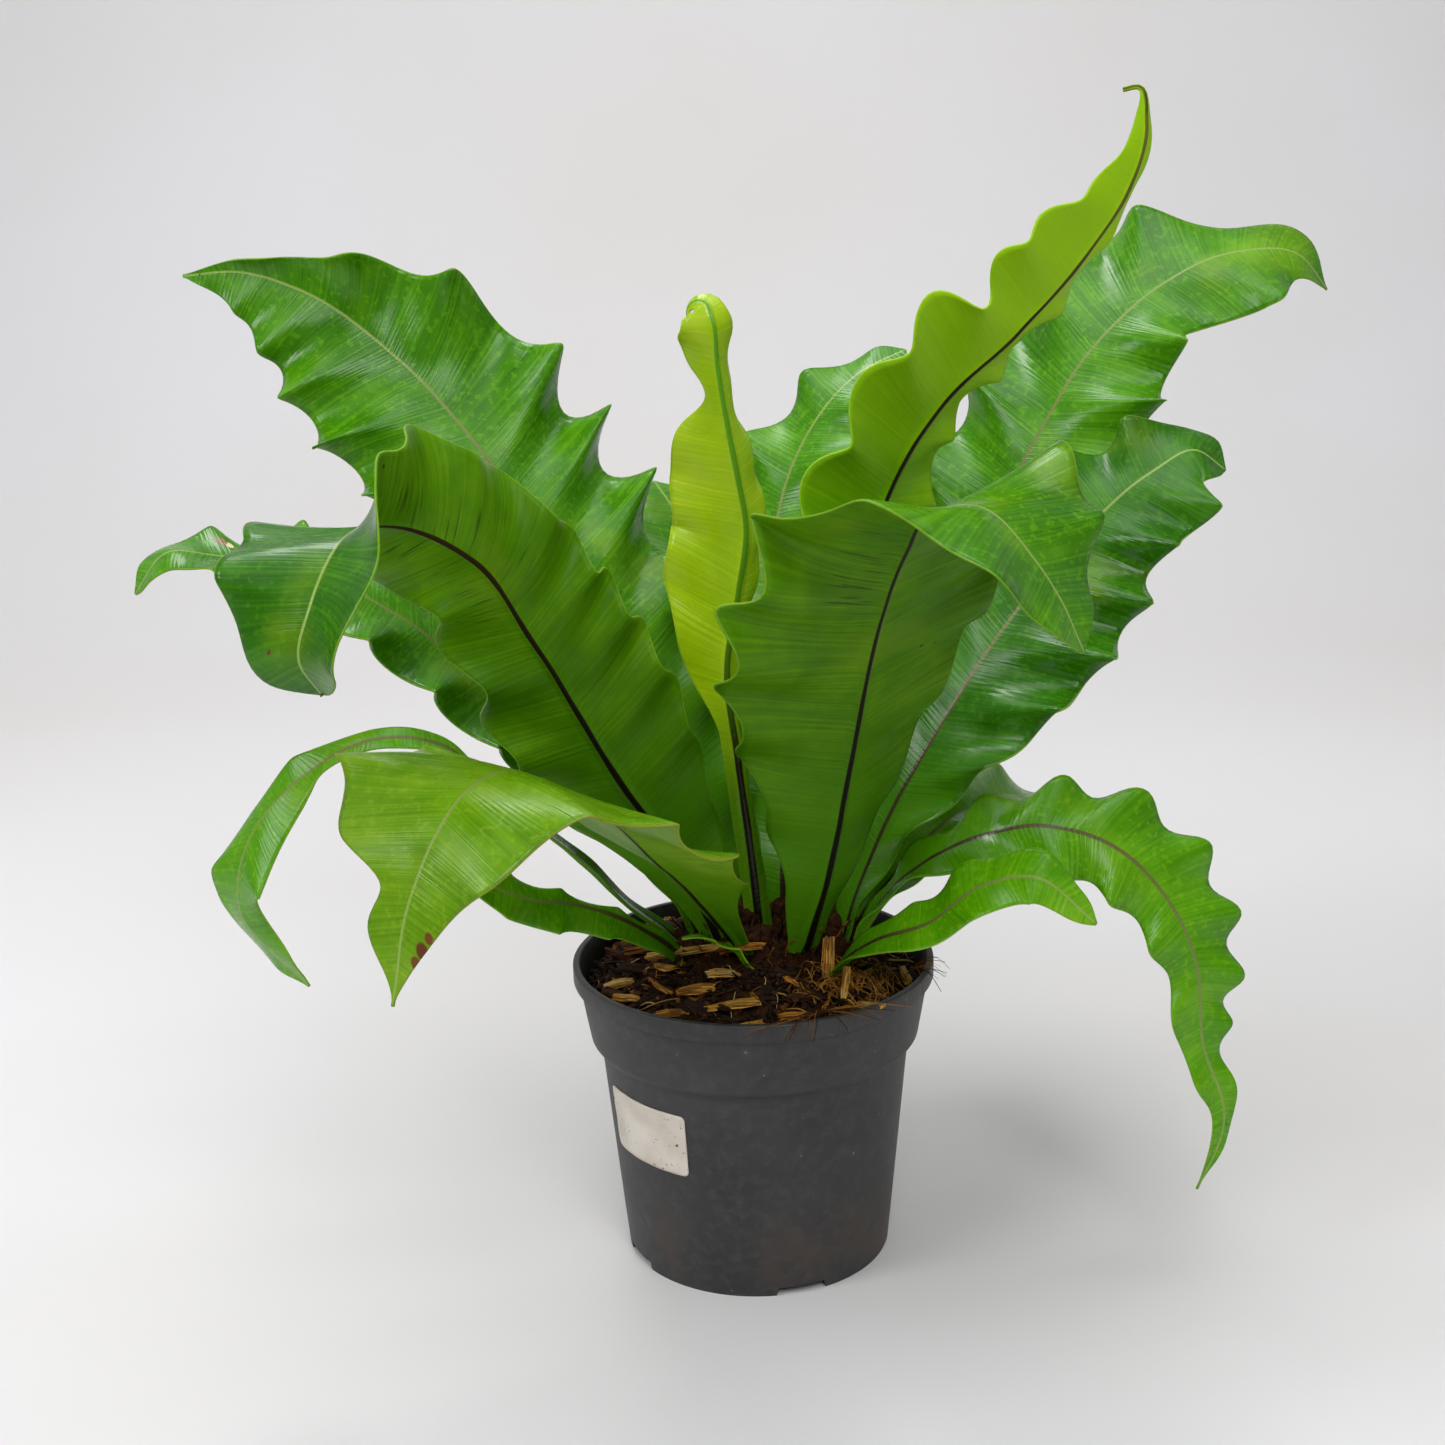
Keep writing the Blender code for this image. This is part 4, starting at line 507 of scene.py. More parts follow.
def leaf_material(name, under, looks, gloss, shine, spores, ribs):
    """Living fern leaf: a waxy skin that shines softly over a green that the light passes through.

    The upper face is darker and glossier. The underside is paler and matt, with a dark rib and lines of
    spore cases along the veins. Real veins lie 1 mm apart, which the render can't show, so they are
    drawn 1.5 to 3 mm apart. looks holds what both faces share: tones, length, scars, the share of light
    that passes through, and how yellow the tip is.
    """
    tones, length, scars, glow, tip = looks
    made, add = new_material(name)
    deep, middle, light = (rgba(tone) for tone in (tones[3:6] if under else tones[:3]))
    place = add("TexCoord", out="Object")
    share = add("UVMap", uv_map="leaf_share")
    span = add("UVMap", uv_map="leaf_span")
    beside = add("UVMap", uv_map="leaf_rib")
    out, along = add("SeparateXYZ", {0: share}, out=(0, 1))
    out = add("Math", {0: out}, operation="ABSOLUTE")
    # the texture space is 1 unit to the millimetre here, drawn out across the blade
    vein_spot = add("Mapping", {"Vector": span, "Scale": (1 / 90, 1 / 1.5, 1)})
    veins = add("TexNoise", {"Vector": vein_spot, "Scale": 1.0, "Detail": 1.0})
    fold_spot = add("Mapping", {"Vector": span, "Scale": (1 / 70, 1 / 16, 1)})
    fold_shade_and_relief = add("TexNoise", {"Vector": fold_spot, "Scale": 1.0, "Detail": 2.0})
    clouds = add("TexNoise", {"Vector": place, "Scale": 1 / (34 * MM), "Detail": 4.0, "Roughness": 0.6})
    # the fold pattern paints light and shade into the colour: lighter where the bump raises the blade,
    # darker in its hollows; the clouds are the leaf's own uneven tone
    tone = add("Mix", {0: 0.15 if under else 0.3, 2: clouds, 3: fold_shade_and_relief})
    tone = add("Mix", {0: 0.34, 2: tone, 3: veins})
    base = add("ValToRGB", {0: tone}, stops=[(0.25, deep[:3]), (0.5, middle[:3]), (0.75, light[:3])])
    # what lies over the base, each as how far it covers and its colour
    if under:
        # the spore lines lie within two thirds of the way out, on the older half of a frond
        line_spot = add("Mapping", {"Vector": span, "Scale": (1 / 30, 1 / 1.2, 1)})
        lines = add("TexNoise", {"Vector": line_spot, "Scale": 1.0, "Detail": 1.0})
        lines = add("MapRange", {0: lines, 1: 0.6, 2: 0.7}, **SOFT)
        near = add("MapRange", {0: out, 1: 0.66, 2: 0.4}, **SOFT)
        band = add("MapRange", {0: along, 1: 0.48, 2: 0.62, 4: spores}, **SOFT)
        for limit in (near, band):
            lines = add("Math", {0: lines, 1: limit}, operation="MULTIPLY")
        coats = [(lines, rgba("#26260a"))]
    else:
        # paler flecks where the skin is lifted, 2 to 5 mm wide
        flecks = add("TexNoise", {"Vector": place, "Scale": 1 / (3 * MM), "Detail": 2.0})
        coats = [(add("MapRange", {0: flecks, 1: 0.54, 2: 0.68, 4: 0.36}, **SOFT), light)]
    yellow = add("TexNoise", {"Vector": place, "Scale": 1 / (60 * MM), "Detail": 2.0})
    coats.append((add("MapRange", {0: yellow, 1: 0.56, 2: 0.72, 4: 0.3}, **SOFT), rgba("#86a618")))
    coats.append((add("MapRange", {0: out, 1: 0.985, 2: 0.997, 4: 0.55}), rgba(tones[6])))
    for across, up, size, colour in scars:
        spot = (across, up * length - VEIN_LEAN * abs(across), 0.0)
        away = add("VectorMath", {0: span, 1: spot}, out="Value", operation="DISTANCE")
        coats.append((add("MapRange", {0: away, 1: 0.6 * size, 2: 0.4 * size}, **SOFT), rgba(colour)))
    # a young tip is yellower, and every stalk's foot is plain green
    coats.append((add("MapRange", {0: along, 1: 0.45, 2: 0.75, 4: tip}, **SOFT), rgba("#9cc614")))
    coats.append((add("MapRange", {0: along, 1: 0.42, 2: 0.2, 4: 0.85}, **SOFT), rgba("#437a04")))
    # the rib goes from nearly black at the stalk to the green of the tip
    rib = add("Math", {0: add("SeparateXYZ", {0: beside})}, operation="ABSOLUTE")
    rib = add("MapRange", {0: rib, 1: 1.0, 2: 0.65}, **SOFT)
    coats.append((rib, add("ValToRGB", {0: along}, stops=ribs)))
    for cover, colour in coats:
        base = add("Mix", {0: cover, 6: base, 7: colour}, **BLEND)
    rough = add("MapRange", {0: clouds, 1: 0.3, 2: 0.7, 3: gloss - 0.07, 4: gloss + 0.12})
    relief = add("Mix", {0: 0.6, 2: fold_shade_and_relief, 3: veins})
    bump = add("Bump", {"Strength": 0.5, "Distance": 0.8 * MM, "Height": relief})
    shader = add("BsdfPrincipled", {
        "Base Color": base, "Roughness": rough, "Normal": bump, "IOR": shine,
        "Subsurface Weight": glow, "Subsurface Radius": (0.8, 1.0, 0.05), "Subsurface Scale": 1.2 * MM})
    add("OutputMaterial", {"Surface": shader})
    return made


def pot_material(settings):
    """Injection-moulded polypropylene: matt anthracite with a fine grain, under dust and splashed soil."""
    made, add = new_material("moulded_polypropylene")
    place = add("TexCoord", out="Object")
    height = add("SeparateXYZ", {0: place}, out=2)
    # the moulded grain is 0.3 mm and drawn at 0.8 mm
    grain = add("TexNoise", {"Vector": place, "Scale": 1 / (0.8 * MM), "Detail": 2.0})
    clouds = add("TexNoise", {"Vector": place, "Scale": 1 / (55 * MM), "Detail": 6.0, "Roughness": 0.6})
    dust = add("TexNoise", {"Vector": place, "Scale": 1 / (6 * MM), "Detail": 5.0, "Roughness": 0.7})
    base = add("ValToRGB", {0: clouds}, stops=[(0.35, settings.dark), (0.65, settings.light)])
    veil = add("MapRange", {0: dust, 1: 0.48, 2: 0.72, 4: 0.26})
    # brown smears where wet soil has dried near the foot, and small splashes all over
    low = add("MapRange", {0: height, 1: 52 * MM, 2: 4 * MM, 4: 0.75}, **SOFT)
    smear = add("MapRange", {0: clouds, 1: 0.47, 2: 0.66}, **SOFT)
    smear = add("Math", {0: smear, 1: low}, operation="MULTIPLY")
    drops = add("TexVoronoi", {"Vector": place, "Scale": 1 / (9 * MM)}, out="Distance")
    drops = add("MapRange", {0: drops, 1: 0.1, 2: 0.05}, **SOFT)
    where = add("MapRange", {0: dust, 1: 0.5, 2: 0.58, 4: 0.8})
    drops = add("Math", {0: drops, 1: where}, operation="MULTIPLY")
    for cover, colour in ((veil, "#5b5856"), (smear, "#4d3c30"), (drops, "#7a6450")):
        base = add("Mix", {0: cover, 6: base, 7: rgba(colour)}, **BLEND)
    rough = add("MapRange", {0: clouds, 1: 0.3, 2: 0.7, 3: 0.46, 4: 0.62})
    relief = add("Mix", {0: 0.4, 2: grain, 3: drops})
    bump = add("Bump", {"Strength": 0.35, "Distance": 0.3 * MM, "Height": relief})
    shader = add("BsdfPrincipled",
                 {"Base Color": base, "Roughness": rough, "Normal": bump, "IOR": 1.49})
    add("OutputMaterial", {"Surface": shader})
    return made


def paper_material():
    """Label paper, coated and printed blank: off-white and matt, with crumbs of soil rubbed on."""
    made, add = new_material("coated_label_paper")
    place = add("TexCoord", out="Object")
    stain = add("TexNoise", {"Vector": place, "Scale": 1 / (18 * MM), "Detail": 5.0})
    dirt = add("TexNoise", {"Vector": place, "Scale": 1 / (2.2 * MM), "Detail": 3.0})
    base = add("ValToRGB", {0: stain}, stops=[(0.35, "#dcd5cb"), (0.7, "#c6bbad")])
    specks = add("MapRange", {0: dirt, 1: 0.66, 2: 0.71}, **SOFT)
    base = add("Mix", {0: specks, 6: base, 7: rgba("#5a4634")}, **BLEND)
    bump = add("Bump", {"Strength": 0.2, "Distance": 0.2 * MM, "Height": dirt})
    shader = add("BsdfPrincipled",
                 {"Base Color": base, "Roughness": 0.6, "Normal": bump, "IOR": 1.5})
    add("OutputMaterial", {"Surface": shader})
    return made


def peat_material(name, dark, light, fleck, grain_mm):
    """Peat or root fibre, broken by hand: dull, nearly black, every crumb its own brown."""
    made, add = new_material(name)
    place = add("TexCoord", out="Object")
    coarse = add("TexNoise",
                 {"Vector": place, "Scale": 1 / (grain_mm * MM), "Detail": 6.0, "Roughness": 0.65})
    fine = add("TexNoise", {"Vector": place, "Scale": 1 / (0.9 * MM), "Detail": 3.0})
    base = add("ValToRGB", {0: coarse}, stops=[(0.36, dark), (0.64, light)])
    bits = add("MapRange", {0: fine, 1: 0.6, 2: 0.72, 4: 0.55})
    base = add("Mix", {0: bits, 6: base, 7: rgba(fleck)}, **BLEND)
    bump = add("Bump", {"Strength": 0.7, "Distance": 0.8 * MM, "Height": fine})
    shader = add("BsdfPrincipled",
                 {"Base Color": base, "Roughness": 0.92, "Normal": bump, "IOR": 1.15})
    add("OutputMaterial", {"Surface": shader})
    return made


def bark_material():
    """Shredded, composted pine bark: orange-tan on fresh splits, nearly black where weathered."""
    made, add = new_material("shredded_pine_bark")
    tone = add("Attribute", out="Fac", attribute_name="tone")
    grain_spot = add("UVMap", uv_map="grain")
    # wood grain 0.6 mm wide and 12 mm long
    drawn = add("Mapping", {"Vector": grain_spot, "Scale": (1 / 12, 1 / 0.6, 1)})
    grain = add("TexNoise", {"Vector": drawn, "Scale": 1.0, "Detail": 4.0})
    base = add("ValToRGB", {0: tone}, stops=[
        (0.0, "#140a04"), (0.3, "#2c180a"), (0.5, "#5c3412"), (0.68, "#a4661e"), (0.84, "#cc963e"),
        (1.0, "#dcba70")])
    streak = add("MapRange", {0: grain, 1: 0.4, 2: 0.6, 3: 0.8, 4: 0.0})
    base = add("Mix", {0: streak, 6: base, 7: rgba("#1c0f06")}, **BLEND)
    bump = add("Bump", {"Strength": 0.6, "Distance": 0.5 * MM, "Height": grain})
    shader = add("BsdfPrincipled",
                 {"Base Color": base, "Roughness": 0.72, "Normal": bump, "IOR": 1.25})
    add("OutputMaterial", {"Surface": shader})
    return made


def finish_piece(name, work, materials, nodes=(), smooth=False):
    """A piece from a filled bmesh, riding on the root and standing for its nodes."""
    for face in work.faces:
        face.smooth = face.smooth or smooth
    data = bpy.data.meshes.new(name)
    work.to_mesh(data)
    work.free()
    piece = bpy.data.objects.new(name, data)
    bpy.context.scene.collection.objects.link(piece)
    for finish in materials:
        data.materials.append(finish)
    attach(piece, "root")
    if nodes:
        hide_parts(*nodes)
    return piece


def ripple(x, y, seed):
    """A smooth uneven height between about -1 and 1."""
    wave = math.sin(0.11 * x + 1.7 * seed) * math.cos(0.13 * y - 0.9 * seed)
    wave += 0.6 * math.sin(0.23 * x - 0.19 * y + seed)
    wave += 0.4 * math.cos(0.31 * x + 0.27 * y + 2.1 * seed)
    return wave / 1.6


def clods(x, y, layers):
    """Uneven height of loose soil: layers give a height, a seed and a size, in millimetres."""
    return sum(height * noise.noise(Vector((x, y, seed)) / size) for height, seed, size in layers)


def wall_radius(height, inset=0.0):
    """Radius of the pot's outer wall below the shoulder, less an inset."""
    return BASE_RADIUS + (SHOULDER_RADIUS - BASE_RADIUS) * height / SHOULDER_HEIGHT - inset


def inner_radius(height):
    """Radius of the pot's inner wall at a height."""
    places = [FLOOR_RISE + FLOOR, SHOULDER_HEIGHT + 0.8, BAND_LOW_HEIGHT + 2.0,
              POT_HEIGHT - LIP_HEIGHT + 1.0, POT_HEIGHT]
    radii = [wall_radius(FLOOR_RISE + FLOOR, WALL), SHOULDER_RADIUS - WALL, BAND_LOW_RADIUS - WALL,
             BAND_RADIUS - WALL, LIP_INNER_RADIUS]
    return float(np.interp(height, places, radii))


MIX_REACH = inner_radius(MIX_EDGE_HEIGHT) - 0.35


def mix_height(x, y):
    """Height of the potting mix's top at a place: a mound, a little fuller at the front right."""
    share = min(math.hypot(x, y) / MIX_REACH, 1.0)
    lift = (1.0 - share ** 2.4) * (MIX_TOP_HEIGHT - MIX_EDGE_HEIGHT)
    full = MIX_FULL * share * max(0.0, math.cos(math.atan2(y, x) - math.radians(MIX_FULL_TURN)))
    return MIX_EDGE_HEIGHT + lift + full + MIX_BUMP * ripple(x, y, 1.0) * (1.0 - 0.5 * share)


def pot_outline():
    """Radius and height round the pot's wall in millimetres, from the floor's middle inside to below."""
    lip_low = POT_HEIGHT - LIP_HEIGHT
    rolled = [(LIP_RADIUS - 1.0 + math.sin(turn), POT_HEIGHT - 1.0 + math.cos(turn))
              for turn in (0.0, 0.4, 0.8, 1.2, math.pi / 2)]
    return [
        (0.0, FLOOR_RISE + FLOOR), (wall_radius(FLOOR_RISE + FLOOR, WALL), FLOOR_RISE + FLOOR),
        (SHOULDER_RADIUS - WALL, SHOULDER_HEIGHT + 0.8), (BAND_LOW_RADIUS - WALL, BAND_LOW_HEIGHT + 2.0),
        (BAND_RADIUS - WALL, lip_low + 1.0), (LIP_INNER_RADIUS, POT_HEIGHT - 0.6),
        (LIP_INNER_RADIUS + 0.3, POT_HEIGHT - 0.15), (LIP_INNER_RADIUS + 0.7, POT_HEIGHT),
        *rolled,
        (LIP_RADIUS, lip_low + 1.0), (LIP_RADIUS - 0.25, lip_low + 0.35), (LIP_RADIUS - 0.8, lip_low),
        (BAND_RADIUS + 0.35, lip_low), (BAND_RADIUS, lip_low - 0.35),
        (BAND_LOW_RADIUS + 0.2, BAND_LOW_HEIGHT + 0.8), (BAND_LOW_RADIUS - 0.2, BAND_LOW_HEIGHT - 0.9),
        (BAND_LOW_RADIUS - 1.4, BAND_LOW_HEIGHT - 2.6), (SHOULDER_RADIUS + 1.9, SHOULDER_HEIGHT + 2.4),
        (SHOULDER_RADIUS + 0.6, SHOULDER_HEIGHT + 1.2), (SHOULDER_RADIUS, SHOULDER_HEIGHT),
        (SHOULDER_RADIUS - 0.2, SHOULDER_HEIGHT - 2.0), (wall_radius(60.0), 60.0),
        (wall_radius(20.0), 20.0), (BASE_RADIUS, 0.8), (BASE_RADIUS - 0.4, 0.0),
        (BASE_RADIUS - FOOT_WIDTH + 0.3, 0.0),
        (BASE_RADIUS - FOOT_WIDTH, 0.4), (BASE_RADIUS - FOOT_WIDTH, FLOOR_RISE),
        (PAD_RADIUS + PAD_SLOPE, FLOOR_RISE), (PAD_RADIUS, 0.0), (0.0, 0.0),
    ]


class PotSettings(bpy.types.PropertyGroup):
    """Finish of the pot."""
    dark: FloatVectorProperty(name="Dark tone", description="The pot in its darker clouds",
                              subtype="COLOR", size=3, default=rgb("#252425"))
    light: FloatVectorProperty(name="Light tone", description="The pot in its lighter clouds",
                               subtype="COLOR", size=3, default=rgb("#353434"))
    sides: IntProperty(name="Sides", description="Steps round the pot", default=144, min=24)


class FrondSettings(bpy.types.PropertyGroup):
    """Sizes of every frond's blade."""
    blade: FloatProperty(name="Blade thickness", description="Thickness of the blade",
                         default=0.8 * MM, unit="LENGTH")
    rib_root: FloatProperty(name="Rib at the root", description="How far the rib stands out",
                            default=2.4 * MM, unit="LENGTH")
    rib_tip: FloatProperty(name="Rib at the tip", description="How far the rib stands out",
                           default=0.3 * MM, unit="LENGTH")
    swell: FloatProperty(name="Swelling", description="Height of the blade's small uneven swellings",
                         default=0.45 * MM, unit="LENGTH")
    step: FloatProperty(name="Mesh step", description="Length of a step along a blade",
                        default=2.0 * MM, unit="LENGTH")


class MixSettings(bpy.types.PropertyGroup):
    """Amounts in the potting mix."""
    chips: IntProperty(name="Bark chips", description="Number of bark chips", default=170)
    crumbs: IntProperty(name="Crumbs", description="Number of peat crumbs", default=2400)
    straws: IntProperty(name="Straws", description="Number of straws and fibres", default=170)
    coir: IntProperty(name="Coir", description="Number of fibres in the coir patch", default=260)


class FERN_OT_pot(bpy.types.Operator):
    """Build the nursery pot with its lip, shoulder, foot notches and drain holes."""
    bl_idname = "fern.pot"
    bl_label = "Pot"

    def execute(self, context):
        settings = context.scene.fern_pot
        work = bmesh.new()
        outline = [work.verts.new((radius * MM, 0.0, height * MM)) for radius, height in pot_outline()]
        edges = [work.edges.new(pair) for pair in zip(outline, outline[1:])]
        bmesh.ops.spin(work, geom=outline + edges, angle=math.tau, steps=settings.sides, axis=(0, 0, 1),
                       cent=(0, 0, 0), use_merge=True)
        bmesh.ops.remove_doubles(work, verts=work.verts, dist=0.01 * MM)
        bmesh.ops.recalc_face_normals(work, faces=work.faces)
        pot = finish_piece("nursery_pot", work, [pot_material(settings)], ["pot"])
        tools = bmesh.new()
        for i in range(DRAIN_COUNT):
            turn = Matrix.Rotation(math.tau * i / DRAIN_COUNT, 4, "Z")
            bmesh.ops.create_cone(tools, cap_ends=True, segments=32, radius1=DRAIN_RADIUS * MM,
                                  radius2=DRAIN_RADIUS * MM, depth=12 * MM,
                                  matrix=turn @ Matrix.Translation((DRAIN_RING * MM, 0.0, FLOOR_RISE * MM)))
        for degrees in NOTCH_TURNS:
            turn = Matrix.Rotation(math.radians(degrees), 4, "Z")
            notch = bmesh.ops.create_cube(tools, size=1.0)["verts"]
            bmesh.ops.scale(tools, vec=(14 * MM, NOTCH_WIDTH * MM, 2 * NOTCH_HEIGHT * MM), verts=notch)
            top = [corner for corner in notch if corner.co.z > 0.0]
            bmesh.ops.scale(tools, vec=(1.0, NOTCH_TOP, 1.0), verts=top)
            place = turn @ Matrix.Translation((BASE_RADIUS * MM, 0.0, 0.0))
            bmesh.ops.transform(tools, matrix=place, verts=notch)
        data = bpy.data.meshes.new("drills")
        tools.to_mesh(data)
        tools.free()
        drills = bpy.data.objects.new("drills", data)
        context.scene.collection.objects.link(drills)
        cut = pot.modifiers.new("drains and notches", "BOOLEAN")
        cut.object = drills
        cut.operation = "DIFFERENCE"
        cut.solver = "EXACT"
        drilled = bpy.data.meshes.new_from_object(pot.evaluated_get(context.evaluated_depsgraph_get()))
        pot.modifiers.clear()
        pot.data = drilled
        bpy.data.objects.remove(drills, do_unlink=True)
        drilled.shade_smooth()
        drilled.set_sharp_from_angle(angle=math.radians(32))
        return {"FINISHED"}


class FERN_OT_label(bpy.types.Operator):
    """Build the bare paper label on the pot's wall."""
    bl_idname = "fern.label"
    bl_label = "Label"

    def execute(self, context):
        work = bmesh.new()
        bmesh.ops.create_grid(work, x_segments=48, y_segments=24, size=0.5)
        middle = (LABEL_LOW + LABEL_HIGH) / 2
        tall = LABEL_HIGH - LABEL_LOW
        for corner in work.verts:
            across = corner.co.x * LABEL_WIDTH
            up = corner.co.y * tall
            # points past a corner's arc are pulled back to it
            past_x = max(abs(across) - (LABEL_WIDTH / 2 - LABEL_CORNER), 0.0)
            past_y = max(abs(up) - (tall / 2 - LABEL_CORNER), 0.0)
            past = math.hypot(past_x, past_y)
            if past > LABEL_CORNER:
                across -= math.copysign(past_x * (1 - LABEL_CORNER / past), across)
                up -= math.copysign(past_y * (1 - LABEL_CORNER / past), up)
            lift = 0.12 * ripple(across * 2.2, up * 2.2, 4.0)
            radius = wall_radius(middle + up) + 0.3 + LABEL_THICK / 2 + lift
            turn = math.radians(LABEL_TURN) + across / wall_radius(middle)
            corner.co = (radius * math.cos(turn) * MM, radius * math.sin(turn) * MM, (middle + up) * MM)
        label = finish_piece("paper_label", work, [paper_material()], ["pot_label"])
        thick = label.modifiers.new("thickness", "SOLIDIFY")
        thick.thickness = LABEL_THICK * MM
        thick.offset = -1.0
        label.data.shade_smooth()
        return {"FINISHED"}


def loose_bits():
    """A bmesh for chips or fibres, with the layers that the bark reads."""
    work = bmesh.new()
    return work, work.faces.layers.float.new("tone"), work.loops.layers.uv.new("grain")


def laid(x, y, z, heading, roll, tilt):
    """A chip's place in millimetres, with its heading, its roll about its length and its tilt."""
    place = Matrix.Translation(Vector((x, y, z)) * MM) @ Matrix.Rotation(heading, 4, "Z")
    return place @ Matrix.Rotation(roll, 4, "X") @ Matrix.Rotation(tilt, 4, "Y")


def add_chip(work, tone, grain, size, shade, place, draw):
    """A split piece of bark: a block with worn ends, bent and set down at a place."""
    corners = bmesh.ops.create_cube(work, size=1.0)["verts"]
    edges = list({edge for corner in corners for edge in corner.link_edges})
    made = bmesh.ops.subdivide_edges(work, edges=edges, cuts=2, use_grid_fill=True)["geom"]
    fresh = [item for item in made if isinstance(item, bmesh.types.BMFace)]
    corners = list({corner for face in fresh for corner in face.verts})
    start = draw.uniform(0.0, 90.0)
    for face in fresh:
        face[tone] = min(1.0, max(0.0, shade + draw.uniform(-0.1, 0.1)))
        for loop in face.loops:
            x, y, z = (side * part for side, part in zip(size, loop.vert.co))
            loop[grain].uv = (x + start, y + z)
    curve = draw.uniform(-0.06, 0.06)
    for corner in corners:
        end = 2 * abs(corner.co.x)
        worn = 1.0 - draw.uniform(-0.1, 0.35) * end * end
        x, y, z = (side * part for side, part in zip(size, corner.co))
        corner.co = Vector((x + draw.uniform(-1.6, 1.6) * end, y * worn + draw.uniform(-0.5, 0.5),
                            z * worn + curve * size[0] * end * end + draw.uniform(-0.25, 0.25))) * MM
    bmesh.ops.transform(work, matrix=place, verts=corners)


def add_fibre(work, tone, points, thick, shade, sides=5):
    """A thin round fibre through points, in millimetres, thinner to its end."""
    ahead = (points[1] - points[0]).to_track_quat("Z", "Y").to_matrix().to_4x4()
    ring = bmesh.ops.create_circle(work, cap_ends=True, segments=sides, radius=thick * MM,
                                   matrix=Matrix.Translation(points[0] * MM) @ ahead)["verts"]
    cap = ring[0].link_faces[0]
    fresh = {cap}
    for last, point in zip(points, points[1:]):
        made = bmesh.ops.extrude_face_region(work, geom=[cap])["geom"]
        if last is not points[0]:
            fresh.discard(cap)
            bmesh.ops.delete(work, geom=[cap], context="FACES_ONLY")
        cap = next(item for item in made if isinstance(item, bmesh.types.BMFace))
        corners = list(cap.verts)
        fresh.update(face for corner in corners for face in corner.link_faces)
        bmesh.ops.translate(work, vec=(point - last) * MM, verts=corners)
        bmesh.ops.scale(work, vec=(0.9, 0.9, 0.9), verts=corners, space=Matrix.Translation(-point * MM))
    bmesh.ops.recalc_face_normals(work, faces=list(fresh))
    for face in fresh:
        face[tone] = shade
        face.smooth = True


TUFTS = ((292, 16), (342, 9))    # strands over the lip: where, in degrees, and how many
COIR_TURN = (318, 11)            # middle and spread of the coir, in degrees
COIR_RADIUS = (63.0, 8.0)        # middle and spread of its distance from the pot's axis
COIR_NEAREST = 46.0
MIX_SEED = 11
CROWN_SEED = 5

# Tones of loose bits, 0 nearly black to 1 pale
CHIP_TONES = (0.05, 0.1, 0.18, 0.24, 0.3, 0.4, 0.52, 0.7, 0.8)
STRAW_TONES = (0.2, 0.4, 0.6, 0.8, 0.9, 1.0)
SCALE_TONES = (0.1, 0.2, 0.3, 0.42, 0.5, 0.62)

# Clods of old root between the stalks: middle x and y, height of the top, and size, in millimetres.
LUMPS = [
    (-6, 24, 160, 13), (20, 26, 163, 14), (38, 8, 158, 11), (-22, 14, 158, 11), (6, -12, 160, 9),
    (38, -16, 155, 9), (-2, 8, 164, 10), (54, 4, 150, 9),
]

# The long pale splinters on top of the mix: place x and y, length, width, height above the mix, heading
# and tilt in degrees, and tone.
SPLINTERS = [
    (-30, -22, 38, 4.5, 6, 4, 6, 0.86), (-26, -50, 17, 7, 4, -12, 8, 0.74),
    (-14, -44, 14, 5, 5, 6, -6, 0.92), (-9, -63, 22, 5.5, 4, 8, 4, 0.82),
    (34, -36, 18, 5.5, 9, 85, 62, 0.74), (41, -54, 15, 3, 8, 75, 50, 0.86),
    (50, -57, 20, 4, 5, -42, 10, 0.88), (-1, -76, 9, 4, 4, 15, 5, 0.78), (-62, -24, 14, 5, 4, 30, 0, 0.9),
    (-58, -42, 12, 3.5, 4, -20, 5, 0.8), (-40, -33, 16, 4, 7, -55, 14, 0.78),
    (62, 6, 18, 4, 6, 70, 12, 0.84), (-36, -62, 15, 4, 4, 25, -6, 0.7),
    (17, -70, 12, 5, 3, -8, 6, 0.7), (-6, -30, 22, 5, 9, -25, 14, 0.66),
    (22, -58, 16, 7, 3, 35, -5, 0.4), (-48, -8, 24, 3, 7, 12, -4, 0.62),
    (70, -22, 14, 3.5, 4, 100, 6, 0.8),
    (-12, 62, 26, 5, 5, 20, 5, 0.8), (30, 60, 18, 6, 5, -40, 6, 0.74), (-50, 40, 20, 5, 5, 60, 0, 0.84),
]


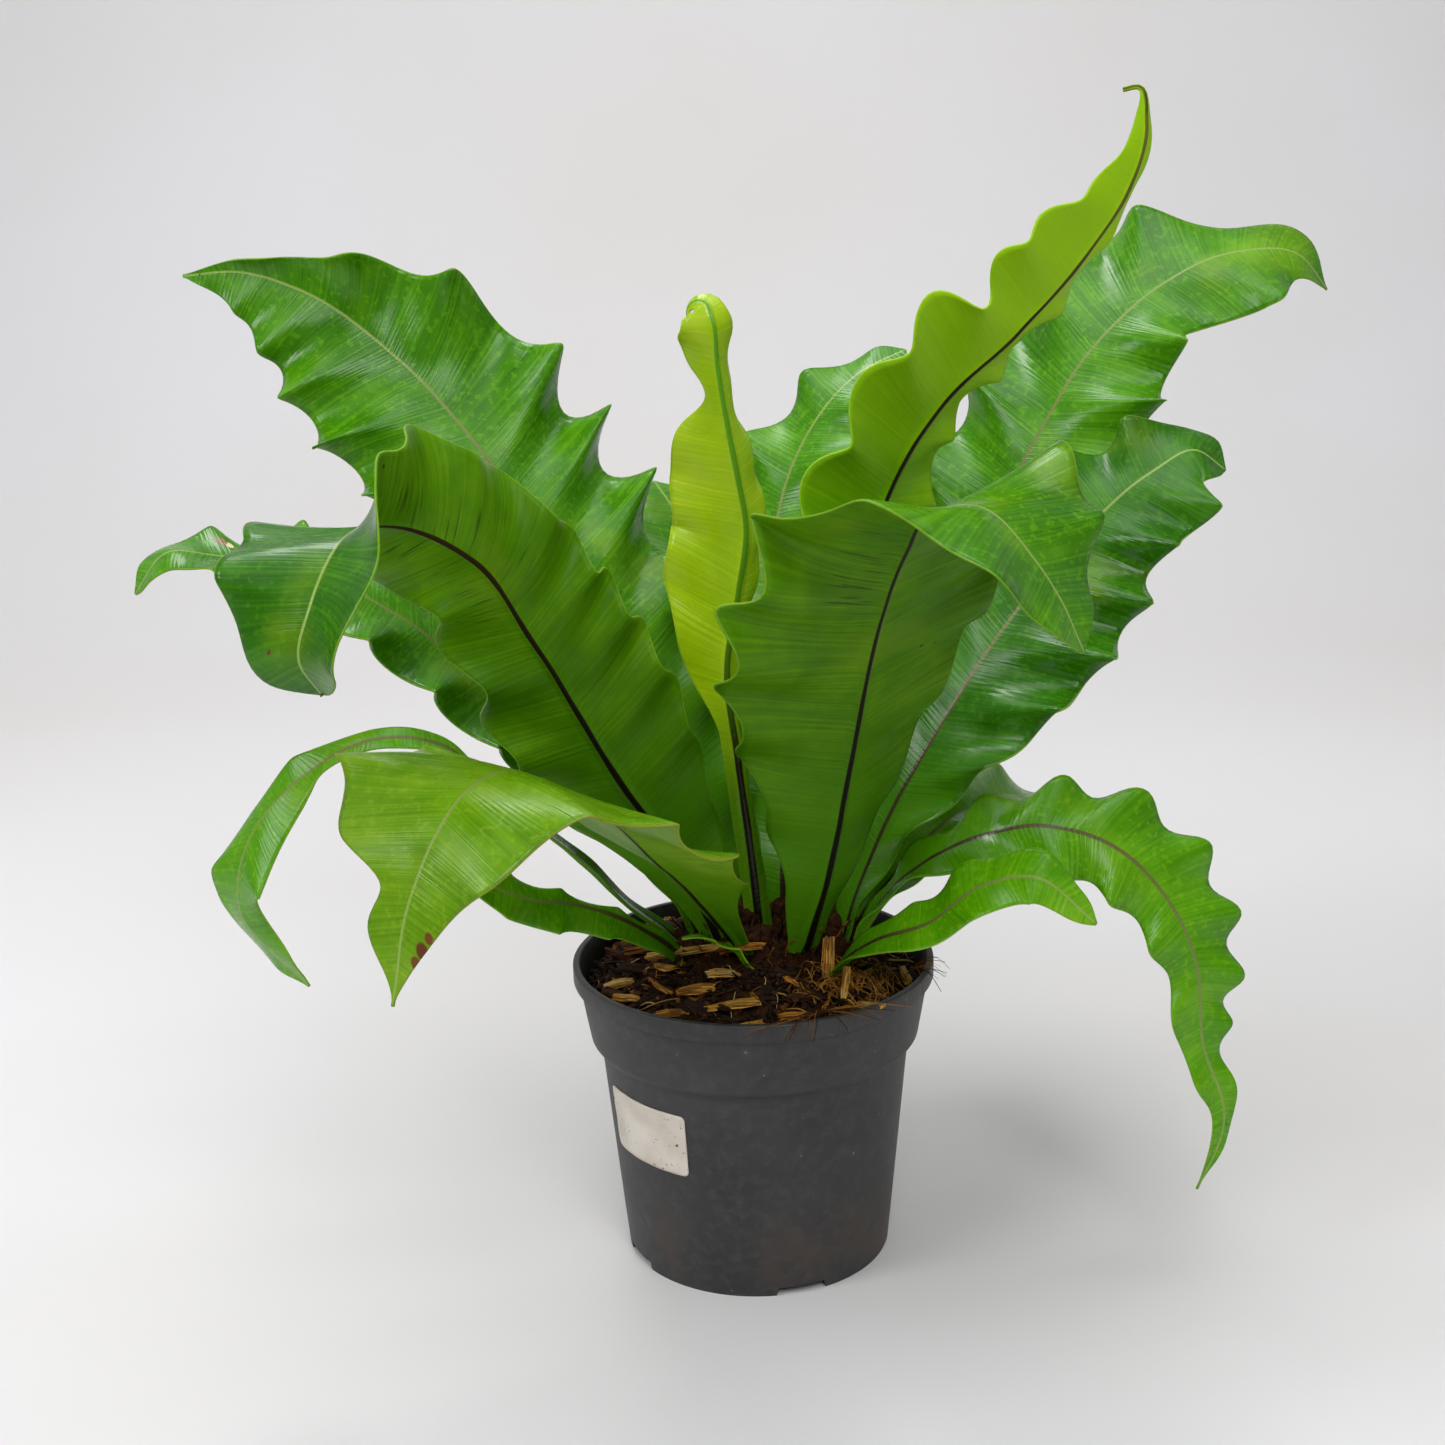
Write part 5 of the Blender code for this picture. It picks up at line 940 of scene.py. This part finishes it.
class FERN_OT_mix(bpy.types.Operator):
    """Fill the pot with potting mix: peat, bark chips, crumbs, straws and coir."""
    bl_idname = "fern.mix"
    bl_label = "Potting mix"

    def execute(self, context):
        settings = context.scene.fern_mix
        draw = random.Random(MIX_SEED)
        self.add_peat()
        bark = bark_material()
        self.add_chips(draw, settings.chips, bark)
        self.add_crumbs(draw, settings.crumbs, bark)
        self.add_straws(draw, settings.straws, bark)
        self.add_coir(draw, settings.coir, bark)
        return {"FINISHED"}

    def add_peat(self):
        """The body of the mix: a ball whose upper half is laid over the mouth and the rest fills the pot."""
        work = bmesh.new()
        bmesh.ops.create_uvsphere(work, u_segments=220, v_segments=130, radius=1.0)
        low = FLOOR_RISE + FLOOR + 0.5
        high = MIX_EDGE_HEIGHT - 7.0
        for corner in work.verts:
            x, y, z = corner.co
            turn = math.atan2(y, x)
            slope = math.acos(min(abs(z), 1.0)) / (math.pi / 2)
            if z > -0.02:
                radius = slope * MIX_REACH
                px = radius * math.cos(turn)
                py = radius * math.sin(turn)
                height = mix_height(px, py) + clods(px, py, ((2.2, 0.0, 7.0), (1.3, 9.0, 2.8)))
            else:
                height = low + (high - low) * min(1.0, max(0.0, (slope - 0.3) / 0.7))
                radius = (inner_radius(height) - 0.35) * min(1.0, slope / 0.3)
            corner.co = (radius * math.cos(turn) * MM, radius * math.sin(turn) * MM, height * MM)
        peat = peat_material("milled_peat", "#0d0603", "#33200f", "#6a4622", 5.0)
        finish_piece("peat", work, [peat], ["potting_mix"], smooth=True)

    def spot(self, draw, low, high):
        """A place on the mix's top, between two radii, clear of the crown."""
        while True:
            radius = math.sqrt(draw.uniform(low ** 2, high ** 2))
            turn = draw.uniform(0.0, math.tau)
            x = radius * math.cos(turn)
            y = radius * math.sin(turn)
            off = math.hypot((x - CROWN_CENTRE[0]) / CROWN_REACH[0], (y - CROWN_CENTRE[1]) / CROWN_REACH[1])
            if off > 0.8:
                return x, y

    def add_chips(self, draw, count, bark):
        work, tone, grain = loose_bits()
        for i in range(count):
            x, y = self.spot(draw, 10.0, 77.0)
            long = draw.uniform(13.0, 25.0) if i % 4 == 0 else draw.uniform(4.0, 14.0)
            size = (long, long * draw.uniform(0.12, 0.36), draw.uniform(1.0, 3.0))
            shade = draw.choice(CHIP_TONES)
            room = max(0.0, math.hypot(x, y) + long / 2 - MIX_REACH + 1.0)
            pull = 1.0 - room / max(math.hypot(x, y), 1.0)
            place = laid(x * pull, y * pull, mix_height(x, y) + draw.uniform(0.6, 3.2),
                         draw.uniform(0.0, math.tau), draw.gauss(0.0, 0.3), draw.gauss(0.0, 0.25))
            add_chip(work, tone, grain, size, shade, place, draw)
        for x, y, long, wide, lift, heading, tilt, shade in SPLINTERS:
            place = laid(x, y, mix_height(x, y) + lift, math.radians(heading), 0.0, -math.radians(tilt))
            add_chip(work, tone, grain, (long, wide, 2.2), shade, place, draw)
        finish_piece("bark_chips", work, [bark])

    def add_crumbs(self, draw, count, bark):
        work, tone = loose_bits()[:2]
        for _ in range(count):
            x, y = self.spot(draw, 8.0, 79.0)
            squeeze = (draw.uniform(0.6, 1.5), draw.uniform(0.6, 1.2), draw.uniform(0.4, 0.9))
            size = draw.uniform(0.5, 2.2) * MM
            turn = Matrix.Rotation(draw.uniform(0.0, math.tau), 4, "Z")
            turn = turn @ Matrix.Diagonal((*squeeze, 1.0))
            place = Matrix.Translation(Vector((x, y, mix_height(x, y) + draw.uniform(0.2, 2.2))) * MM)
            crumb = bmesh.ops.create_icosphere(work, subdivisions=1, radius=size, matrix=place @ turn)
            shade = min(0.7, max(0.0, draw.gauss(0.2, 0.16)))
            for face in {face for corner in crumb["verts"] for face in corner.link_faces}:
                face[tone] = shade
        finish_piece("peat_crumbs", work, [bark])

    def lying(self, draw, x, y, heading, length, lift, bend):
        """Points of a fibre that lies on the mix, in millimetres."""
        points = []
        steps = 6
        for k in range(steps + 1):
            reach = min(1.0, (MIX_REACH - 0.8) / max(math.hypot(x, y), 1.0))
            x *= reach
            y *= reach
            arch = lift * math.sin(math.pi * k / steps)
            points.append(Vector((x, y, mix_height(x, y) + arch + 1.4)))
            x += math.cos(heading) * length / steps
            y += math.sin(heading) * length / steps
            heading += bend / steps + draw.gauss(0.0, 0.08)
        return points

    def add_straws(self, draw, count, bark):
        work, tone = loose_bits()[:2]
        for _ in range(count):
            x, y = self.spot(draw, 20.0, 76.0)
            length = draw.uniform(6.0, 26.0)
            points = self.lying(draw, x, y, draw.uniform(0.0, math.tau), length, draw.uniform(0.3, 3.5),
                                draw.uniform(-1.4, 1.4))
            add_fibre(work, tone, points, draw.uniform(0.2, 0.6), draw.choice(STRAW_TONES))
        # a tuft that hangs over the lip at the front, and one at the right
        for middle, strands in TUFTS:
            for _ in range(strands):
                turn = math.radians(draw.gauss(middle, 1.6))
                over = draw.uniform(4.0, 9.0)
                rise = draw.uniform(0.5, 3.5)
                drop = draw.uniform(-1.0, 7.0)
                sway = draw.gauss(0.0, 0.03)
                points = []
                for k in range(7):
                    radius = LIP_RADIUS - 9.0 + (9.0 + over) * k / 6
                    height = POT_HEIGHT + rise * math.sin(math.pi * k / 6)
                    height -= drop * max(0.0, k / 6 - 0.6) / 0.4
                    angle = turn + sway * k
                    points.append(Vector((radius * math.cos(angle), radius * math.sin(angle), height)))
                add_fibre(work, tone, points, draw.uniform(0.2, 0.4), draw.uniform(0.3, 0.8))
        finish_piece("straw_and_fibre", work, [bark])

    def add_coir(self, draw, count, bark):
        """A pad of coir at the front right."""
        work, tone = loose_bits()[:2]
        for _ in range(count):
            turn = math.radians(draw.gauss(*COIR_TURN))
            radius = draw.gauss(*COIR_RADIUS)
            if not COIR_NEAREST < radius < MIX_REACH - 2.0:
                continue
            points = self.lying(draw, radius * math.cos(turn), radius * math.sin(turn),
                                draw.uniform(0.0, math.tau), draw.uniform(5.0, 14.0),
                                draw.uniform(1.0, 5.0), draw.uniform(-2.5, 2.5))
            add_fibre(work, tone, points, draw.uniform(0.22, 0.42), draw.uniform(0.56, 0.9), sides=4)
        finish_piece("coir", work, [bark])


class FERN_OT_crown(bpy.types.Operator):
    """Build the fibrous crown that the stalks come out of."""
    bl_idname = "fern.crown"
    bl_label = "Crown"

    def execute(self, context):
        draw = random.Random(CROWN_SEED)
        work = bmesh.new()
        shape = bmesh.ops.create_uvsphere(work, u_segments=200, v_segments=110, radius=1.0)["verts"]
        for corner in shape:
            x, y, z = corner.co
            turn = math.atan2(y, x)
            swell = 1.0 + 0.05 * math.sin(3 * turn + 0.6) + 0.03 * math.sin(5 * turn)
            flat = math.copysign(abs(z) ** 0.8, z)
            reach = (CROWN_TOP - CROWN_MIDDLE) if z > 0.0 else (CROWN_MIDDLE - CROWN_LOW)
            px = CROWN_CENTRE[0] + CROWN_REACH[0] * swell * x
            py = CROWN_CENTRE[1] + CROWN_REACH[1] * swell * y
            bump = CROWN_BUMP * ripple(1.9 * px, 1.9 * py, 2.0)
            bump += clods(px, py, ((2.6, 3.0, 6.0), (1.4, 5.0, 2.5)))
            height = CROWN_MIDDLE + reach * flat + bump * max(z, 0.0)
            corner.co = (px * MM, py * MM, height * MM)
        self.add_lumps(work, draw)
        fibre = peat_material("matted_root_fibre", "#0e0603", "#351e0e", "#62401c", 4.0)
        finish_piece("crown_body", work, [fibre], ["crown"], smooth=True)
        self.add_scales(draw)
        return {"FINISHED"}

    def add_lumps(self, work, draw):
        """Clods of old root that stand up between the stalks."""
        for x, y, height, size in LUMPS:
            centre = Vector((x, y, height - 0.45 * size))
            start = Vector((draw.uniform(0, 90), draw.uniform(0, 90), 0))
            clod = bmesh.ops.create_icosphere(work, subdivisions=4, radius=1.0)["verts"]
            for corner in clod:
                way = corner.co.copy()
                push = 1.0 + 0.35 * noise.noise(1.6 * way + start) + 0.16 * noise.noise(4.5 * way + start)
                corner.co = (centre + size * push * Vector((way.x, way.y, 0.8 * way.z))) * MM

    def add_scales(self, draw):
        """Dry scales and ends of old stalks, which stand up out of the crown."""
        work, tone = loose_bits()[:2]
        for _ in range(SCALE_COUNT):
            turn = draw.uniform(0.0, math.tau)
            out = math.sqrt(draw.uniform(0.02, 0.95))
            x = CROWN_CENTRE[0] + CROWN_REACH[0] * 0.9 * out * math.cos(turn)
            y = CROWN_CENTRE[1] + CROWN_REACH[1] * 0.9 * out * math.sin(turn)
            top = CROWN_MIDDLE + (CROWN_TOP - CROWN_MIDDLE) * (1 - out ** 2) ** 0.4
            long = draw.uniform(4.0, 15.0)
            lean = Vector((math.cos(turn) * out, math.sin(turn) * out, 0.5 + draw.uniform(0.0, 0.8)))
            lean.normalize()
            side = Vector((draw.uniform(-1, 1), draw.uniform(-1, 1), 0.0)) * 0.4
            start = Vector((x, y, top - 2.0))
            points = [start + lean * long * k / 5 + side * (k / 5) ** 2 * long for k in range(6)]
            add_fibre(work, tone, points, draw.uniform(0.25, 0.75), draw.choice(SCALE_TONES))
        finish_piece("old_stalk_fibres", work, [bark_material()])


# Tones of each frond, mature where none is given. The darker upper face of the deep tones on
# frond_front_left and frond_right is painted shade, and the young tones on frond_young_centre are lightened
# partly as painted glow.
FROND_LOOKS = {
    "frond_front_left": "deep", "frond_right": "deep", "frond_young_centre": "young",
    "frond_young_right": "fresh", "frond_low_front_left": "old",
    "frond_trailing_left": "bright", "frond_small_left": "bright", "frond_small_right": "bright",
    "frond_trailing_right": "bright", "frond_low_back_right": "bright", "frond_shoot": "bright",
}


class FERN_OT_fronds(bpy.types.Operator):
    """Build every frond along its rib, with veins, margin waves and a raised rib below."""
    bl_idname = "fern.fronds"
    bl_label = "Fronds"

    def execute(self, context):
        settings = context.scene.fern_frond
        for name, frond in FRONDS.items():
            self.add_frond(name, frond, settings)
        return {"FINISHED"}

    def add_frond(self, name, frond, settings):
        length = rib_line(frond)[1]
        along = max(24, int(length * MM / settings.step))
        across = next(count for width, count in ACROSS if frond["width"] < width)
        even_columns = np.linspace(-1.0, 1.0, across + 1)
        columns = np.sign(even_columns) * np.abs(even_columns) ** DENSE_RIB
        points = blade_points(frond, along, columns)
        full = half_width(frond, np.linspace(0.0, 1.0, along + 1))
        halves = frond.get("halves", EVEN_HALVES)
        shares = np.linspace(0.0, 1.0, along + 1)
        parts = smooth([row[0] for row in halves], [row[1:] for row in halves], shares)
        work = bmesh.new()
        bmesh.ops.create_grid(work, x_segments=along, y_segments=across, size=0.5)
        share_map, span_map, rib_map = (work.loops.layers.uv.new(each)
                                        for each in ("leaf_share", "leaf_span", "leaf_rib"))
        weights = work.verts.layers.deform.new()
        thickest = settings.blade + settings.rib_root
        for corner in work.verts:
            u = corner.co.x + 0.5
            i = int(round(u * along))
            j = int(round((0.5 - corner.co.y) * across))
            v = columns[j]
            away = v * full[i] * parts[i, 0 if v < 0 else 1]
            wide = RIB_ROOT_WIDTH + (RIB_TIP_WIDTH - RIB_ROOT_WIDTH) * u ** 0.6
            wide = min(wide, 0.8 * full[i])
            for loop in corner.link_loops:
                loop[share_map].uv = (v, u)
                loop[span_map].uv = (away, u * length - VEIN_LEAN * abs(away))
                loop[rib_map].uv = (away / (0.5 * wide), 0.0)
            stand = max(0.0, 1.0 - (away / wide) ** 2) ** 0.5
            rib = (settings.rib_root + (settings.rib_tip - settings.rib_root) * u ** 0.6) * stand
            corner[weights][0] = (settings.blade + rib) / thickest
            corner.co = Vector(points[i, j]) * MM
        self.swell(work, settings.swell)
        look = FROND_LOOKS.get(name, "mature")
        tones = LEAF_TONES[look]
        young = look in ("young", "fresh")
        glow = 0.25 if young else 0.1
        spores = 0.7 if look in ("mature", "deep", "old") else 0.0
        tip = 0.7 if look == "fresh" else 0.0
        gloss, shine, ribs = (0.26, 1.4, RIB_YOUNG) if look == "young" else (0.4, 1.2, RIB_BELOW)
        place = name[6:]
        looks = (tones, length, SCARS.get(name, []), glow, tip)
        upper = leaf_material(f"waxy_leaf_{place}", False, looks, 0.24, 1.33, 0.0, RIB_TOP)
        under = leaf_material(f"leaf_underside_{place}", True, looks, gloss, shine, spores, ribs)
        piece = finish_piece(f"leaf_{place}", work, [upper, under], [name], smooth=True)
        piece.vertex_groups.new(name="thickness")
        thicken = piece.modifiers.new("thickness", "SOLIDIFY")
        thicken.thickness = thickest
        thicken.offset = -1.0
        thicken.vertex_group = "thickness"
        thicken.material_offset = 1
        thicken.material_offset_rim = 1

    def swell(self, work, height):
        """Push the blade in and out a little, so that it shines unevenly as a living one does."""
        work.normal_update()
        for corner in work.verts:
            spot = corner.co / MM
            push = noise.noise(spot / 26.0) + 0.4 * noise.noise(spot / 11.0)
            corner.co += corner.normal * height * push


# Soft square lights: name, place and the point they look at in metres, side in metres, power in watts.
LAMPS = [
    ("window", (-1.5, -1.0, 1.7), (0.0, 0.0, 0.28), 0.8, 20.0),
    ("ceiling", (0.1, -0.6, 2.2), (0.0, 0.0, 0.2), 1.2, 5.0),
    ("front_fill", (0.4, -2.0, 2.0), (0.0, -0.1, 0.1), 1.2, 32.0),
    ("backdrop", (0.0, 0.3, 2.1), (0.0, 1.9, 0.6), 1.4, 16.0),
    ("rear_lamp", (-0.4, 0.8, 1.9), (0.0, 0.0, 0.3), 0.45, 8.0),
]

# Background paper, in metres: its width and run, how far it comes in front of the pot and lies flat
# behind it, and the radius of its bend.
PAPER_WIDTH = 6.0
PAPER_RUN = 6.5
PAPER_FRONT = 2.2
PAPER_FLAT = 1.1
PAPER_BEND = 0.9


class FERN_OT_studio(bpy.types.Operator):
    """Place the pale floor, the soft lights and the camera at the photograph's angle."""
    bl_idname = "fern.studio"
    bl_label = "Studio"

    def execute(self, context):
        scene = context.scene
        self.add_sweep(scene)
        for lamp in LAMPS:
            self.add_light(*lamp)
        self.add_room(scene)
        scene.view_settings.view_transform = "Standard"
        self.add_camera(scene)
        return {"FINISHED"}

    def add_room(self, scene):
        """The room's light: dim behind the camera and bright behind the plant, so that the leaves shine."""
        world = bpy.data.worlds.new("pale_room")
        world.use_nodes = True
        tree = world.node_tree
        tree.nodes.clear()
        way = node(tree, "TexCoord", out="Generated")
        depth = node(tree, "SeparateXYZ", {0: way}, out=1)
        strength = node(tree, "MapRange", {0: depth, 1: -0.8, 2: 0.6, 3: 0.18, 4: 0.4})
        light = node(tree, "Background", {"Color": rgba("#f2f3f7"), "Strength": strength})
        node(tree, "OutputWorld", {"Surface": light})
        scene.world = world

    def add_sweep(self, scene):
        """Background paper that lies flat under the pot and curves up behind it."""
        work = bmesh.new()
        bmesh.ops.create_grid(work, x_segments=40, y_segments=60, size=0.5)
        for corner in work.verts:
            run = (corner.co.y + 0.5) * PAPER_RUN - PAPER_FRONT
            turn = min(max((run - PAPER_FLAT) / PAPER_BEND, 0.0), math.pi / 2)
            rise = max(0.0, run - PAPER_FLAT - PAPER_BEND * math.pi / 2)
            corner.co = (corner.co.x * PAPER_WIDTH,
                         min(run, PAPER_FLAT) + PAPER_BEND * math.sin(turn),
                         PAPER_BEND * (1 - math.cos(turn)) + rise)
        for face in work.faces:
            face.smooth = True
        bmesh.ops.recalc_face_normals(work, faces=work.faces)
        data = bpy.data.meshes.new("paper_sweep")
        work.to_mesh(data)
        work.free()
        sweep = bpy.data.objects.new("paper_sweep", data)
        scene.collection.objects.link(sweep)
        made, add = new_material("matt_background_paper")
        place = add("TexCoord", out="Object")
        clouds = add("TexNoise", {"Vector": place, "Scale": 1 / (700 * MM), "Detail": 3.0})
        base = add("ValToRGB", {0: clouds}, stops=[(0.3, "#dbd9d7"), (0.7, "#e0dfe1")])
        shader = add("BsdfPrincipled", {"Base Color": base, "Roughness": 0.8})
        add("OutputMaterial", {"Surface": shader})
        data.materials.append(made)

    def add_light(self, name, place, aim, side, power):
        """A soft square light that looks at a point."""
        data = bpy.data.lights.new(name, "AREA")
        data.shape = "SQUARE"
        data.size = side
        data.energy = power
        lamp = bpy.data.objects.new(name, data)
        lamp.location = place
        lamp.rotation_euler = (Vector(aim) - Vector(place)).to_track_quat("-Z", "Y").to_euler()
        bpy.context.scene.collection.objects.link(lamp)

    def add_camera(self, scene):
        """The camera that the photograph was taken with, worked out from the pot's ellipses."""
        pitch, yaw, roll = (math.radians(turn) for turn in CAMERA_TURNS)
        ahead = Vector((math.sin(yaw) * math.cos(pitch), math.cos(yaw) * math.cos(pitch), -math.sin(pitch)))
        right = ahead.cross(Vector((0.0, 0.0, 1.0))).normalized()
        up = right.cross(ahead)
        right, up = (math.cos(roll) * right + math.sin(roll) * up,
                     math.cos(roll) * up - math.sin(roll) * right)
        data = bpy.data.cameras.new("photo_camera")
        data.sensor_width = SENSOR_MM
        data.lens = FOCAL_PIXELS * SENSOR_MM / PHOTO_SIDE
        camera = bpy.data.objects.new("photo_camera", data)
        turn = Matrix((right, up, -ahead)).transposed().to_4x4()
        camera.matrix_world = Matrix.Translation(CAMERA_PLACE) @ turn
        scene.collection.objects.link(camera)
        scene.camera = camera


class FERN_PT_panel(bpy.types.Panel):
    """Buttons that build each group of pieces."""
    bl_idname = "FERN_PT_panel"
    bl_label = "Potted fern"
    bl_space_type = "VIEW_3D"
    bl_region_type = "UI"
    bl_category = "Fern"

    def draw(self, context):
        column = self.layout.column()
        for step in STEPS:
            column.operator(step)
        for group in (context.scene.fern_pot, context.scene.fern_frond, context.scene.fern_mix):
            for name in group.__annotations__:
                column.prop(group, name)


STEPS = ("fern.pot", "fern.label", "fern.mix", "fern.crown", "fern.fronds", "fern.studio")
CLASSES = (PotSettings, FrondSettings, MixSettings, FERN_OT_pot, FERN_OT_label, FERN_OT_mix,
           FERN_OT_crown, FERN_OT_fronds, FERN_OT_studio, FERN_PT_panel)


def register():
    for each in CLASSES:
        bpy.utils.register_class(each)
    bpy.types.Scene.fern_pot = PointerProperty(type=PotSettings)
    bpy.types.Scene.fern_frond = PointerProperty(type=FrondSettings)
    bpy.types.Scene.fern_mix = PointerProperty(type=MixSettings)


def unregister():
    del bpy.types.Scene.fern_mix
    del bpy.types.Scene.fern_frond
    del bpy.types.Scene.fern_pot
    for each in reversed(CLASSES):
        bpy.utils.unregister_class(each)


def main():
    register()
    for step in STEPS:
        family, name = step.split(".")
        getattr(getattr(bpy.ops, family), name)()


if __name__ == "__main__":
    main()
